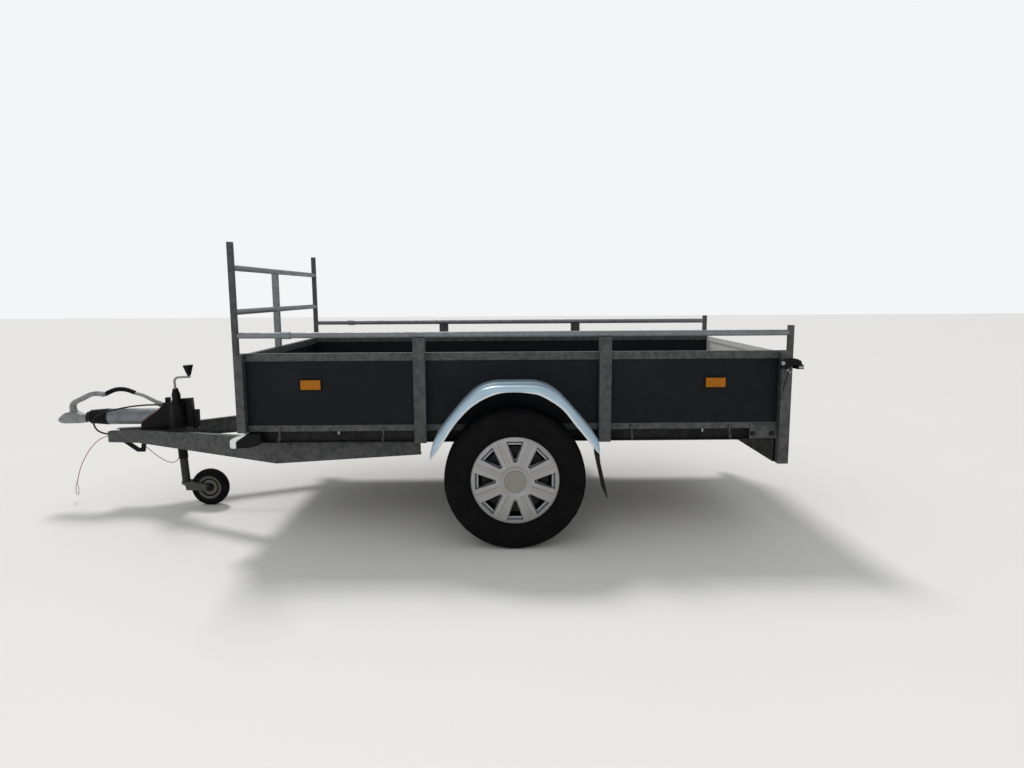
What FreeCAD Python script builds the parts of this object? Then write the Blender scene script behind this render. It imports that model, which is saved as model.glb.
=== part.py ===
import FreeCAD, Part
import math
import os

V = FreeCAD.Vector

# Single-axle utility trailer, standing on its wheels and its jockey wheel.
# Millimetres. It is laid out about the middle of the axle on the ground: +X forward to the
# coupling, +Y to the trailer's left, +Z up. place() then moves the origin to mid length.

# Wheels
TYRE_OD = 638.0            # 185/80 R14
TYRE_WIDTH = 185.0
RIM_D = 356.0              # bead seat, 14 inch
RIM_FLANGE_D = 386.0
RIM_WIDTH = 140.0
RIM_WALL = 4.0
TYRE_CLEARANCE = 33.0      # between the box's side and the tyre
RIM_FLANGE_T = 3.0
RIM_WELL = 18.0            # depth of the well under the bead seats
WELL_INNER_Y = (-32.0, -18.0)    # the well's slopes, from the middle of the rim
WELL_OUTER_Y = (14.0, 26.0)
WHEEL_OFFSET = 28.0        # from the middle of the rim out to the face of the hub
DISC_FOOT_R = 96.0         # where the disc leaves the hub's face
DISC_INNER = ((118.0, 14.0), (150.0, 14.0))    # radius, distance from the hub's face
DISC_OUTER = ((150.0, 18.5), (116.0, 18.5), (94.0, 5.0))
TYRE_WALL = ((34.0, 4.0), (12.0, 14.0), (3.0, 30.0), (0.0, 60.0))    # in from the tread, in from the widest
BEAD_W = 9.0
BEAD_EDGE = (2.0, 3.0)     # the tyre over the rim's flange: above it, and out from the bead
LOWER_WALL = (8.0, 12.0)   # the sidewall's foot: above the flange, and in from the widest
HUBCAP_OVERHANG = 5.0      # past the rim's flange
HUBCAP_T = 3.0
HUBCAP_SPOKES = 8
HUBCAP_FRONT = ((0.0, 17.0), (46.0, 17.0), (52.0, 15.0), (150.0, 12.0), (178.0, 9.0), (192.0, 4.0),
                (RIM_FLANGE_D / 2 + HUBCAP_OVERHANG, 0.0))    # radius, height
# The windows' sloping frames: radius and half width of the inner and the outer end
WINDOW_FLOOR = ((96.0, 4.0), (163.0, 29.0))    # at their bottom
WINDOW_FACE = ((89.0, 6.0), (181.0, 39.0))    # at their upper edge
WINDOW_HEIGHTS = (1.0, 10.0)    # heights of both
WINDOW_FRAME_T = 2.0
GROOVE = ((60.0, 14.8), (150.0, 12.0), (168.0, 10.1))    # radius, height of the face it is pressed in
GROOVE_W = 12.0
GROOVE_DEPTH = 1.5

# Axle and brakes
AXLE_TUBE = 70.0           # square tube of the rubber torsion axle
ARM_LENGTH = 160.0
ARM_DROP = 66.0            # hub below the middle of the axle tube
ARM_T = 22.0
ARM_FRONT = ((34.0, 30.0), (34.0, -34.0))    # from the axle tube's middle
ARM_REAR = ((20.0, -30.0), (-26.0, -22.0), (-26.0, 24.0), (20.0, 32.0))    # from the hub's middle
BRACKET_L = 160.0
DRUM_D = 226.0
DRUM_WIDTH = 62.0
STUB_D = 34.0
STUB_GAP = 4.0
HUB_BORE_GAP = 0.3
HUB_DEPTH = 8.0            # from the hub's face in to the end of the bore
HUB_R = 34.0
HUB_L = 20.0
CAP_R = 28.0
CAP_L = 6.0
DRUM_BEVEL = 12.0
BACKPLATE_T = 6.0
ROTATING_GAP = 2.0         # between the backplate and the drum

# Load box
BOX_WIDTH = 1250.0         # between the inner lips of the side profiles
FRONT_X = 1280.0           # front face of the corner posts
REAR_X = -1284.0           # rear face of the corner posts
CHASSIS_BOTTOM = 450.0
CHASSIS_TOP = 508.0
FLOOR_T = 15.0
SIDE_TOP = 874.0
FRONT_TOP = 864.0
BOARD_T = 18.0             # film-faced plywood
PROFILE_T = 3.0            # galvanised edge profiles
TOP_PROFILE_H = 36.0
BOTTOM_PROFILE_H = 29.0
CHANNEL_T = 4.0            # chassis channels
CHANNEL_FLANGE = 40.0
RAIL_SET_IN = 12.0         # lips of the chassis rails, inside the box's side
MEMBER_X = (760.0, -560.0) # cross members that stand free of the box's ends and the axle
SEAT = 0.3                 # gap between pieces that lie on one another

# Posts, rails and front rack
POST_DEPTH = 40.0
FRONT_POST_W = 40.0
REAR_POST_W = 50.0
UPRIGHT_W = 25.0           # square tube of the rack's posts and of the rear posts' upper ends
STAKE_W = 55.0
STAKE_X = (435.0, -421.0)
STAKE_BOTTOM = 456.0
LAMP_POST_BOTTOM = 344.0
HOOK_X = (1093.0, 611.0, -550.0, -1010.0)
HOOK_Z = CHASSIS_TOP + 15.0
HOOK_D = 8.0
HOOK_STANDOFF = 14.0
HOOK_DROP = 56.0
HOOK_REACH = 36.0
HOOK_RISE = 20.0
HOOK_BENDS = (7.0, 9.0, 9.0)
RAIL_D = 26.9
RAIL_Z = 959.0
RAIL_SLEEVE_D = 33.7
RAIL_SLEEVE_X = 1037.0
RAIL_SLEEVE_L = 43.0
REAR_POST_TOP = 993.0
REAR_POST_STEP = 870.0     # where the rear post becomes narrower
POST_PLATE = (125.0, 5.0, 458.0, 528.0)    # length, thickness, bottom, top
RACK_TOP = 1378.0
RACK_TUBE_Z = (1264.0, 1065.0)
RACK_MID_W = 30.0          # square tube in front of the cross tubes
RACK_MID_BOTTOM = 540.0

# Tailgate
GATE_GAP = 5.0             # running gap round the closed gate
GATE_SET_IN = 11.0         # inner face, ahead of the corner posts' rear face
GATE_TOP = 862.0
GATE_BOTTOM = 513.0
GATE_PROFILE_H = 30.0
HINGE_X = -1304.0
HINGE_Z = 495.0
HINGE_D = 16.0
HINGE_PIN_D = 9.0
HINGE_PIN_GAP = 0.05
HINGE_L = 60.0
HINGE_PLATE_T = 6.0
HINGE_SIDE_GAP = 0.5
HINGE_STRAP_TOP = 565.0
HINGE_Y = (-450.0, 0.0, 450.0)
LATCH_T = 12.0
LATCH_REAR = -30.0         # rear end of the lever, from the gate's rear face
LATCH_LEVER = ((79.0, -40.0), (72.0, -30.0), (57.0, -24.0), (28.0, -21.0), (1.0, -23.0), (-16.0, -30.0),
               (-24.0, -51.0), (LATCH_REAR, -51.0), (LATCH_REAR, -70.0), (-6.0, -70.0), (-2.0, -52.0),
               (18.0, -50.0), (32.0, -62.0), (50.0, -69.0), (73.0, -65.0))    # from the gate's rear top edge
LATCH_FOOT = (134.0, 5.0, -70.0, -24.0)    # length inward, thickness, bottom, top

# Drawbar: sections of the left beam, front to back, as (X, Y of the web, bottom, top)
BEAM_SECTIONS = (
    (2242.0, 60.0, 336.0, 396.0),
    (2078.0, 60.0, 331.0, 403.0),
    (1165.0, 520.0, 322.0, 449.7),
    (456.0, 520.0, 362.0, 449.7),
)
BEAM_T = 4.0
BEAM_FLANGE = 36.0

# Overrun coupling
TUBE_Z = 471.0
TUBE_D = 88.0
TUBE_FRONT_X = 2252.0
TUBE_REAR_X = 1850.3
BRACKET_FRONT_X = 2060.0
BRACKET_REAR_X = 1850.0
BRACKET_TOP = 557.0
BRACKET_NOSE_Z = 437.0     # top of the cheeks at their front
BRACKET_SLOPE_X = 1900.0   # where their slope ends
CHEEK_T = 6.0
SLIDE_D = 48.0
BELLOWS_FRONT_X = 2376.0
BELLOWS_D = (76.0, 92.0)
BELLOWS_RIBS = 7
BELLOWS_RIB_DEPTH = 7.0
COLLAR_L = 16.0
COLLAR_D = 58.0
BALL_D = 50.0
BALL_GAP = 0.2
BALL_Z = 459.0
SOCKET_X = 2488.0
NOSE_X = 2536.0
HEAD_BOTTOM = 437.0
HEAD_SECTIONS = (          # X, half width, bottom, top, chamfer
    (BELLOWS_FRONT_X, 31.0, 441.0, 484.0, 12.0),
    (2406.0, 33.0, 438.0, 487.0, 12.0),
    (2455.0, 38.0, HEAD_BOTTOM, 505.0, 14.0),
    (2492.0, 42.0, HEAD_BOTTOM, 495.0, 16.0),
    (2520.0, 33.0, 439.0, 475.0, 13.0),
    (NOSE_X, 17.0, 446.0, 464.0, 7.0),
)
HANDLE_TOP = ((2276.0, 607.0), (2362.0, 605.0), (2410.0, 582.0), (2464.0, 546.0), (2470.0, 515.0),
              (2462.0, 484.0))
HANDLE_UNDER = ((2416.0, 480.0), (2440.0, 508.0), (2442.0, 533.0), (2402.0, 558.0), (2357.0, 580.0),
                (2280.0, 583.0))
HANDLE_W = 26.0
SEAT_PLATE_INSET = 8.0     # of the plate under the overrun tube, from the webs of the beams

# Handbrake, relay lever and brake rod, as (X, Z) outlines
LEVER_T = 10.0
LEVER_OUTLINE = ((1966.0, 472.0), (1938.0, 482.0), (1984.0, 540.0), (2024.0, 556.0), (2084.0, 588.0),
                 (2140.0, 603.0), (2146.0, 588.0), (2092.0, 572.0), (2034.0, 539.0), (1996.0, 510.0))
LEVER_PIVOT = (1952.0, 480.0)
LEVER_PIVOT_D = 34.0
GRIP_ROUTE = ((2136.0, 596.0), (2190.0, 617.0), (2240.0, 617.0), (2306.0, 588.0))
GRIP_BENDS = (60.0, 80.0)
GRIP_D = 26.0
RELAY_T = 12.0
RELAY_HANGER = (2060.0, 2082.0)
RELAY_OUTLINE = ((2082.0, 352.0), (2094.0, 290.0), (2108.0, 290.0), (2196.0, 356.0), (2212.0, 338.0),
                 (2116.0, 268.0), (2074.0, 268.0), (2060.0, 352.0))
BRAKE_ROD_D = 10.0
BRAKE_ROD_FRONT = (2076.0, 322.0)
BRAKE_ROD_REAR_Z = 374.0

# Jockey wheel
JOCKEY_X = 1806.0
JOCKEY_TUBE_D = 48.0
JOCKEY_INNER_D = 42.0
JOCKEY_OUTER_BOTTOM = 262.0
JOCKEY_OUTER_TOP = 586.0
JOCKEY_WHEEL_D = 200.0
JOCKEY_WHEEL_W = 50.0
JOCKEY_TRAIL = 145.0       # from where the tube meets the beam back to the wheel's middle
JOCKEY_UP = 110.0
JOCKEY_BORE_GAP = 0.5
JOCKEY_BEAM_GAP = 1.5      # between the tube and the beam's flanges
CLAMP_BOTTOM = 427.0
CLAMP_TOP = 567.0
CLAMP_WALL = 11.0
CLAMP_FRONT_REACH = 62.0
CLAMP_REAR_REACH = 71.0
CLAMP_PLATE = (-19.0, 71.0, 5.0)    # rear end, front end, thickness
CLAMP_DEPTH = 46.0
CLAMP_ARM_TOP = 585.0
CLAMP_LUG = (47.0, 68.0, 24.0)    # rear end, front end, height above the plate
CLAMP_FOOT_L = 60.0
CLAMP_FOOT_Y = (16.0, 56.0)
TOGGLE_T = 20.0
TOGGLE_OUTLINE = ((-58.0, 522.0), (-101.0, 520.0), (-95.0, 425.0), (-86.0, 418.0), (-64.0, 420.0),
                  (-60.0, 440.0))    # from the tube's axis, height
CAP_D = 44.0
CAP_H = 26.0
NECK_H = 36.0
CRANK_D = 12.0
CRANK_Z = 704.0
CRANK_ARM = 82.0
KNOB_TOP = 767.0
KNOB_D = (18.0, 54.0)
JOCKEY_INNER_L = 295.0
JOCKEY_END_GAP = 4.0       # above the inner tube at the top of its travel
FORK_TOP = 133.0
FORK_T = 17.0
FORK_D = 50.0
FORK_GAP = 5.0             # beside the small wheel
FORK_CROWN = (25.0, 4.0)   # rear and front end of the fork's crown, behind the tube's axis
FORK_PLATE_T = 5.0
FORK_PLATE_FRONT = ((-4.0, 0.0), (-10.0, -45.0))    # from the tube's axis and the fork's top
FORK_PLATE_END = ((-4.0, -14.0), (-14.0, 0.0), (-4.0, 14.0))    # from the wheel's middle
FORK_PLATE_REAR = (-50.0, 0.0)    # from the tube's axis and the fork's top
SWIVEL_GAP = 1.0           # above and under the fork's crown
KINGPIN_D = 16.0
KINGPIN_HEAD_D = 26.0
KINGPIN_HEAD_T = 8.0
KINGPIN_GAP = 0.4
JOCKEY_AXLE_D = 12.0
JOCKEY_RIM_R = 68.0
JOCKEY_RIM_SIDE = ((16.0, 0.0), (18.0, 17.0), (58.0, 17.0), (62.0, 4.0),
                   (JOCKEY_RIM_R, 4.0))    # radius, in from the side
JOCKEY_TYRE_SIDE = ((20.0, 0.0), (8.0, 3.0), (1.0, 12.0), (0.0, 20.0))    # in from the tread, from the side

# Mudguards: crown outline and lip outline, seen from the side, front to back
GUARD_WIDTH = 230.0
GUARD_T = 2.0
GUARD_EDGE_R = 26.0
GUARD_BOTTOM = 400.0       # where the crown's outline is closed; the lip's ends cut the mudguard off above it
GUARD_CROWN = ((379.0, GUARD_BOTTOM), (362.0, 498.0), (194.0, 710.0), (110.0, 747.0), (-112.0, 747.0),
               (-196.0, 712.0), (-370.0, 506.0), (-380.0, GUARD_BOTTOM))
GUARD_CROWN_R = (60.0, 120.0, 90.0, 90.0, 120.0, 70.0)
GUARD_LIP = ((372.0, 423.0), (316.0, 501.0), (266.0, 578.0), (200.0, 649.0), (134.0, 692.0), (64.0, 717.0),
             (-12.0, 721.0), (-82.0, 713.0), (-125.0, 699.0), (-207.0, 646.0), (-261.0, 579.0),
             (-311.0, 518.0), (-350.0, 468.0), (-372.0, 445.0))
FLAP_TOP = 490.0
FLAP_BOTTOM = 236.0
FLAP_X = -414.0            # rear face at its lower edge
FLAP_T = 4.0
FLAP_SET_IN = 20.0         # from the mudguard's inner edge

# Lamps and reflectors
REFLECTOR_X = (943.0, -941.0)
REFLECTOR_Z = 727.0
REFLECTOR_SIZE = (92.0, 44.0)
REFLECTOR_BASE = (106.0, 60.0)
LAMP_BAR_TOP = 449.7
LAMP_BAR_DEPTH = 58.0
LAMP_L = 220.0
LAMP_SET_IN = 30.0         # from the box's side
MARKER_W = 42.0            # how far the marker lamps stand out of the box's side
MARKER_RIM = 2.0           # of the body beside the lens
MARKER_SEAM = ((1288.0, 437.0), (1288.0, 465.0), (1282.0, 472.0), (1240.0, 500.0))    # between body and lens
MARKER_BODY = ((1240.0, 504.0), (1176.0, 504.0), (1170.0, 470.0), (1184.0, 450.0), (1224.0, 441.0))
MARKER_LENS = ((1240.0, 507.0), (1310.0, 481.0), (1317.0, 472.0), (1317.0, 443.0), (1311.0, 437.0))

# Cords, as points (X, Y, Z)
CABLE_D = 9.0
CABLE_ROUTE = ((2226, 50.7, 377), (2265, 50.9, 382), (2302, 56, 402), (2317, 61, 441), (2302, 64, 480),
               (2265, 65, 500), (2216, 65, 513), (2160, 66, 526), (2100, 66, 537), (2040, 67, 543),
               (1980, 67.5, 546.5), (1922, 68, 545))
WIRE_D = 4.0
BREAKAWAY_ROUTE = ((2196, 8.3, 346), (2238, 9, 362), (2286, 12, 360), (2330, 17, 334), (2366, 23, 294),
                   (2396, 29, 247), (2420, 35, 196), (2436, 40, 143), (2446, 45, 92))
SLACK_ROUTE = ((2150, -50, 333), (2132, -75, 300), (2100, -95, 258), (2062, -100, 220), (2018, -100, 190),
               (1975, -100, 176), (1945, -100, 190), (1925, -100, 236), (1914, -100, 292), (1912, -100, 350),
               (1912, -99, 411))

PLUG_L = 52.0
PLUG_D = 34.0
HOLDER_L = 40.0
HOLDER_H = 50.0
SLEEVE_SET_IN = 3.0        # of the holder's outside, in from the plug's
CLIP_W = 16.0
CLIP_T = 6.0
CLIP_L = 62.0

# Worked out from the sizes above
HUB_Z = TYRE_OD / 2
LIP_Y = BOX_WIDTH / 2
BOARD_IN_Y = LIP_Y + PROFILE_T + SEAT
BOARD_OUT_Y = BOARD_IN_Y + BOARD_T
SIDE_Y = BOARD_OUT_Y + SEAT + PROFILE_T
HALF_TRACK = SIDE_Y + TYRE_CLEARANCE + TYRE_WIDTH / 2
RAIL_OUT_Y = SIDE_Y - RAIL_SET_IN
RAIL_IN_Y = RAIL_OUT_Y - CHANNEL_FLANGE
POST_Y = SIDE_Y + POST_DEPTH
RAIL_Y = POST_Y - UPRIGHT_W / 2
FLOOR_TOP = CHASSIS_TOP + FLOOR_T
HUB_FACE_Y = HALF_TRACK + WHEEL_OFFSET
GATE_SIDE_Y = LIP_Y - GATE_GAP
GATE_IN_X = REAR_X + GATE_SET_IN
GATE_REAR_X = GATE_IN_X - BOARD_T - 2 * (PROFILE_T + SEAT)
LAMP_OUT_Y = SIDE_Y - LAMP_SET_IN
LAMP_IN_Y = LAMP_OUT_Y - LAMP_L
CHEEK_IN_Y = TUBE_D / 2 + SEAT
CHEEK_OUT_Y = CHEEK_IN_Y + CHEEK_T
AXLE_X = math.sqrt(ARM_LENGTH ** 2 - ARM_DROP ** 2)
AXLE_Z = HUB_Z + ARM_DROP
BACKPLATE_Y = HUB_FACE_Y - DRUM_WIDTH - ROTATING_GAP - BACKPLATE_T
JOCKEY_WHEEL_X = JOCKEY_X - JOCKEY_TRAIL
LATCH_REAR_X = GATE_REAR_X + LATCH_REAR
ORIGIN_X = (NOSE_X + LATCH_REAR_X) / 2


def beam_at(x):
    """Return (web Y, bottom, top) of the left drawbar beam at a place along it."""
    for front, back in zip(BEAM_SECTIONS, BEAM_SECTIONS[1:]):
        if back[0] <= x <= front[0]:
            share = (front[0] - x) / (front[0] - back[0])
            return tuple(a + share * (b - a) for a, b in zip(front[1:], back[1:]))
    return BEAM_SECTIONS[-1][1:]


BEAM_RUN = BEAM_SECTIONS[1][0] - BEAM_SECTIONS[2][0]
BEAM_ANGLE = math.atan2(BEAM_SECTIONS[2][1] - BEAM_SECTIONS[1][1], BEAM_RUN)
BEAM_SLOPE = math.atan2(BEAM_SECTIONS[2][3] - BEAM_SECTIONS[1][3], BEAM_RUN)
JOCKEY_Y = beam_at(JOCKEY_X)[0] - BEAM_FLANGE - (JOCKEY_TUBE_D / 2 + JOCKEY_BEAM_GAP) / math.cos(BEAM_ANGLE)
JOCKEY_Z = beam_at(JOCKEY_X)[2]


def leaned(shape):
    """Lean a shape that was made about an upright tube, square to the sloping beam."""
    moved = shape.copy()
    moved.rotate(V(JOCKEY_X, 0, JOCKEY_Z), V(0, 1, 0), math.degrees(BEAM_SLOPE))
    return moved


def leaned_xz(x, z, turn=BEAM_SLOPE):
    """Return where a place (X, Z) comes when it leans with the tube, or before that with the turn negated."""
    along, up = x - JOCKEY_X, z - JOCKEY_Z
    return (JOCKEY_X + along * math.cos(turn) + up * math.sin(turn),
            JOCKEY_Z + up * math.cos(turn) - along * math.sin(turn))


def place(shape):
    """Move a shape from the axle's middle to the part's own origin."""
    moved = shape.copy()
    moved.translate(V(-ORIGIN_X, 0, 0))
    return moved


def save(name, *shapes):
    """Write one node. Several shapes are solids that don't touch."""
    solids = [s for shape in shapes for s in shape.Solids]
    shape = solids[0] if len(solids) == 1 else Part.makeCompound(solids)
    place(shape).exportStep("parts/%s.step" % name)
    if not all(s.isValid() for s in solids):
        print("not valid:", name)


def box(x0, x1, y0, y1, z0, z1):
    """Make a box from its limits, given in any order."""
    x0, x1 = sorted((x0, x1))
    y0, y1 = sorted((y0, y1))
    z0, z1 = sorted((z0, z1))
    return Part.makeBox(x1 - x0, y1 - y0, z1 - z0, V(x0, y0, z0))


def rod(start, end, diameter):
    """Make a round bar between two points."""
    start, end = V(*start), V(*end)
    return Part.makeCylinder(diameter / 2, (end - start).Length, start, end - start)


def mirrored(shape):
    """Return the shape on the other side of the trailer."""
    return shape.mirror(V(0, 0, 0), V(0, 1, 0))


def both(shape):
    """Return a shape and its twin on the other side."""
    return [shape, mirrored(shape)]


def fused(shapes):
    """Join shapes into one solid and merge faces that lie in one plane."""
    first, *rest = shapes
    return first.multiFuse(rest).removeSplitter() if rest else first


def polygon(points):
    """Make a flat face from corner points."""
    corners = [V(*p) for p in points]
    return Part.Face(Part.makePolygon(corners + corners[:1]))


def plate_xz(points, y0, y1):
    """Extrude an outline of (X, Z) points from y0 to y1."""
    return polygon([(x, y0, z) for x, z in points]).extrude(V(0, y1 - y0, 0))


def plate_yz(points, x0, x1):
    """Extrude an outline of (Y, Z) points from x0 to x1."""
    return polygon([(x0, y, z) for y, z in points]).extrude(V(x1 - x0, 0, 0))


def spline_xz(points, y):
    """Make one smooth edge through (X, Z) points."""
    curve = Part.BSplineCurve()
    curve.interpolate([V(x, y, z) for x, z in points])
    return curve.toShape()


def rounded_wire(points, radii):
    """Make an open wire through points, with an arc at each inner point."""
    pts = [V(*p) for p in points]
    edges, start = [], pts[0]
    for before, corner, after, radius in zip(pts, pts[1:], pts[2:], radii):
        a, b = (before - corner).normalize(), (after - corner).normalize()
        half = a.getAngle(b) / 2
        back = radius / math.tan(half)
        first, last = corner + a * back, corner + b * back
        middle = corner + (a + b).normalize() * (radius / math.sin(half) - radius)
        edges += [Part.LineSegment(start, first).toShape(), Part.Arc(first, middle, last).toShape()]
        start = last
    edges.append(Part.LineSegment(start, pts[-1]).toShape())
    return Part.Wire(edges)


def cord(route, diameter, name):
    """Make a cord as straight runs joined by arcs as large as the runs allow."""
    pts = [V(*p) for p in route]
    radii = []
    for before, corner, after in zip(pts, pts[1:], pts[2:]):
        turn = math.pi - (before - corner).getAngle(after - corner)
        run = min((corner - before).Length, (after - corner).Length)
        radii.append(0.45 * run / math.tan(turn / 2))
    path = rounded_wire(route, radii)
    ring = Part.Wire(Part.makeCircle(diameter / 2, pts[0], pts[1] - pts[0]))
    tube = path.makePipeShell([ring], True, False)
    expected = math.pi * diameter ** 2 / 4 * path.Length
    print("%s: length %.0f, radii %s, volume %.3f of expected" % (
        name, path.Length, " ".join("%.0f" % r for r in radii), tube.Volume / expected))
    return tube


def revolved_y(profile, y_middle, x, z):
    """Turn a closed outline of (radius, Y) points about an axis along Y."""
    face = polygon([(x, y_middle + y, z + r) for r, y in profile])
    return face.revolve(V(x, 0, z), V(0, 1, 0), 360)


def make_drawbar():
    """Make the two beams: channels that deepen to the kink under the box's front."""
    wires = []
    for x, y, low, high in BEAM_SECTIONS:
        inner = y - BEAM_FLANGE
        outline = [(y, low), (y, high), (inner, high), (inner, high - BEAM_T), (y - BEAM_T, high - BEAM_T),
                   (y - BEAM_T, low + BEAM_T), (inner, low + BEAM_T), (inner, low)]
        corners = [V(x, py, pz) for py, pz in outline]
        wires.append(Part.makePolygon(corners + corners[:1]))
    beam = Part.makeLoft(wires, True, True)
    save("drawbar_beam_left", beam)
    save("drawbar_beam_right", mirrored(beam))


def make_chassis():
    """Make the channels under the floor: two side rails, open to the side, and cross members."""
    rail = box(REAR_X, FRONT_X, RAIL_IN_Y, RAIL_OUT_Y, CHASSIS_BOTTOM, CHASSIS_TOP)
    rail = rail.cut(box(REAR_X - 1, FRONT_X + 1, RAIL_IN_Y + CHANNEL_T, RAIL_OUT_Y + 1,
                        CHASSIS_BOTTOM + CHANNEL_T, CHASSIS_TOP - CHANNEL_T))
    save("chassis_rails", *both(rail))
    members = []
    places = [(x, 1) for x in (FRONT_X, *MEMBER_X, AXLE_X + AXLE_TUBE / 2)] + [(REAR_X, -1)]
    for x, to_rear in places:
        back = x - to_rear * CHANNEL_FLANGE
        web = x - to_rear * CHANNEL_T
        member = box(x, back, -RAIL_IN_Y, RAIL_IN_Y, CHASSIS_BOTTOM, CHASSIS_TOP)
        members.append(member.cut(box(web, back - to_rear, -RAIL_IN_Y - 1, RAIL_IN_Y + 1,
                                      CHASSIS_BOTTOM + CHANNEL_T, CHASSIS_TOP - CHANNEL_T)))
    save("cross_members", *members)


def make_floor():
    """Make the floor board, which ends a running gap before the gate."""
    rear = GATE_IN_X + GATE_GAP
    front = FRONT_X - 2 * PROFILE_T - BOARD_T - 3 * SEAT
    side = LIP_Y - SEAT
    save("floor_board", box(rear, front, -side, side, CHASSIS_TOP, FLOOR_TOP))


def edge_profile(low, high, open_up):
    """Make the U profile that wraps one edge of a side board."""
    outer = box(REAR_X, FRONT_X, LIP_Y, SIDE_Y, low, high)
    slot_low, slot_high = (low + PROFILE_T, high + 1) if open_up else (low - 1, high - PROFILE_T)
    return outer.cut(box(REAR_X - 1, FRONT_X + 1, LIP_Y + PROFILE_T, SIDE_Y - PROFILE_T, slot_low, slot_high))


def make_sides():
    """Make the side boards, and their edge profiles with the stake posts and the rope hooks."""
    inset = PROFILE_T + SEAT
    board = box(REAR_X, FRONT_X, BOARD_IN_Y, BOARD_OUT_Y, CHASSIS_TOP + inset, SIDE_TOP - inset)
    save("side_panel_left", board)
    save("side_panel_right", mirrored(board))
    pieces = [edge_profile(SIDE_TOP - TOP_PROFILE_H, SIDE_TOP, False),
              edge_profile(CHASSIS_TOP, CHASSIS_TOP + BOTTOM_PROFILE_H, True)]
    half = STAKE_W / 2
    for x in STAKE_X:
        pieces.append(box(x - half, x + half, SIDE_Y, POST_Y, STAKE_BOTTOM, RAIL_Z - RAIL_D / 2))
    near, far, low = SIDE_Y + HOOK_STANDOFF, SIDE_Y + HOOK_REACH, HOOK_Z - HOOK_DROP
    for x in HOOK_X:
        path = rounded_wire([(x, SIDE_Y - 1, HOOK_Z), (x, near, HOOK_Z), (x, near, low), (x, far, low),
                             (x, far, low + HOOK_RISE)], HOOK_BENDS)
        ring = Part.Wire(Part.makeCircle(HOOK_D / 2, V(x, SIDE_Y - 1, HOOK_Z), V(0, 1, 0)))
        pieces.append(path.makePipeShell([ring], True, False))
    frame = fused(pieces)
    save("side_frame_left", frame)
    save("side_frame_right", mirrored(frame))


def make_posts():
    """Make the corner posts. The rear ones reach down beside the lamp bar, with a bolted plate."""
    front = box(FRONT_X - FRONT_POST_W, FRONT_X, SIDE_Y, POST_Y, CHASSIS_TOP, SIDE_TOP)
    length, thickness, low, high = POST_PLATE
    inner = REAR_X + REAR_POST_W
    rear = fused([
        box(REAR_X, inner, SIDE_Y, POST_Y, LAMP_POST_BOTTOM, REAR_POST_STEP),
        box(REAR_X, REAR_X + UPRIGHT_W, POST_Y - UPRIGHT_W, POST_Y, REAR_POST_STEP, REAR_POST_TOP),
        box(inner, inner + length, SIDE_Y, SIDE_Y + thickness, low, high),
    ])
    save("corner_posts", *both(front), *both(rear))


def make_rails():
    """Make the round rails along the sides, each with the sleeve that joins its two lengths."""
    front = FRONT_X - UPRIGHT_W
    rear = REAR_X + UPRIGHT_W
    tube = rod((rear, RAIL_Y, RAIL_Z), (front, RAIL_Y, RAIL_Z), RAIL_D)
    x0, x1 = RAIL_SLEEVE_X - RAIL_SLEEVE_L / 2, RAIL_SLEEVE_X + RAIL_SLEEVE_L / 2
    sleeve = rod((x0, RAIL_Y, RAIL_Z), (x1, RAIL_Y, RAIL_Z), RAIL_SLEEVE_D)
    save("side_rails", *both(tube.fuse(sleeve)))


def make_rack():
    """Make the front rack: two posts on the corner posts, two cross tubes and a middle upright."""
    inner = POST_Y - UPRIGHT_W
    save("rack_posts", *both(box(FRONT_X - UPRIGHT_W, FRONT_X, inner, POST_Y, SIDE_TOP, RACK_TOP)))
    x = FRONT_X - UPRIGHT_W / 2
    pieces = [rod((x, -inner, z), (x, inner, z), RAIL_D) for z in RACK_TUBE_Z]
    start, half = FRONT_X + SEAT, RACK_MID_W / 2
    pieces.append(box(start, start + RACK_MID_W, -half, half, RACK_MID_BOTTOM, RACK_TUBE_Z[0] + RAIL_D / 2))
    save("rack_bars", fused(pieces))


def make_front_board():
    """Make the front board and the profiles along its upper and lower edges."""
    inner = FRONT_X - 2 * PROFILE_T - BOARD_T - 2 * SEAT
    side = LIP_Y - SEAT
    low, high = CHASSIS_TOP, FRONT_TOP
    save("front_board", box(inner + PROFILE_T + SEAT, FRONT_X - PROFILE_T - SEAT, -side, side,
                            low + PROFILE_T + SEAT, high - PROFILE_T - SEAT))
    slot = (inner + PROFILE_T, FRONT_X - PROFILE_T, -side - 1, side + 1)
    top = box(inner, FRONT_X, -side, side, high - TOP_PROFILE_H, high)
    top = top.cut(box(*slot, high - TOP_PROFILE_H - 1, high - PROFILE_T))
    bottom = box(inner, FRONT_X, -side, side, low, low + BOTTOM_PROFILE_H)
    bottom = bottom.cut(box(*slot, low + PROFILE_T, low + BOTTOM_PROFILE_H + 1))
    save("front_board_frame", top, bottom)


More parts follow.
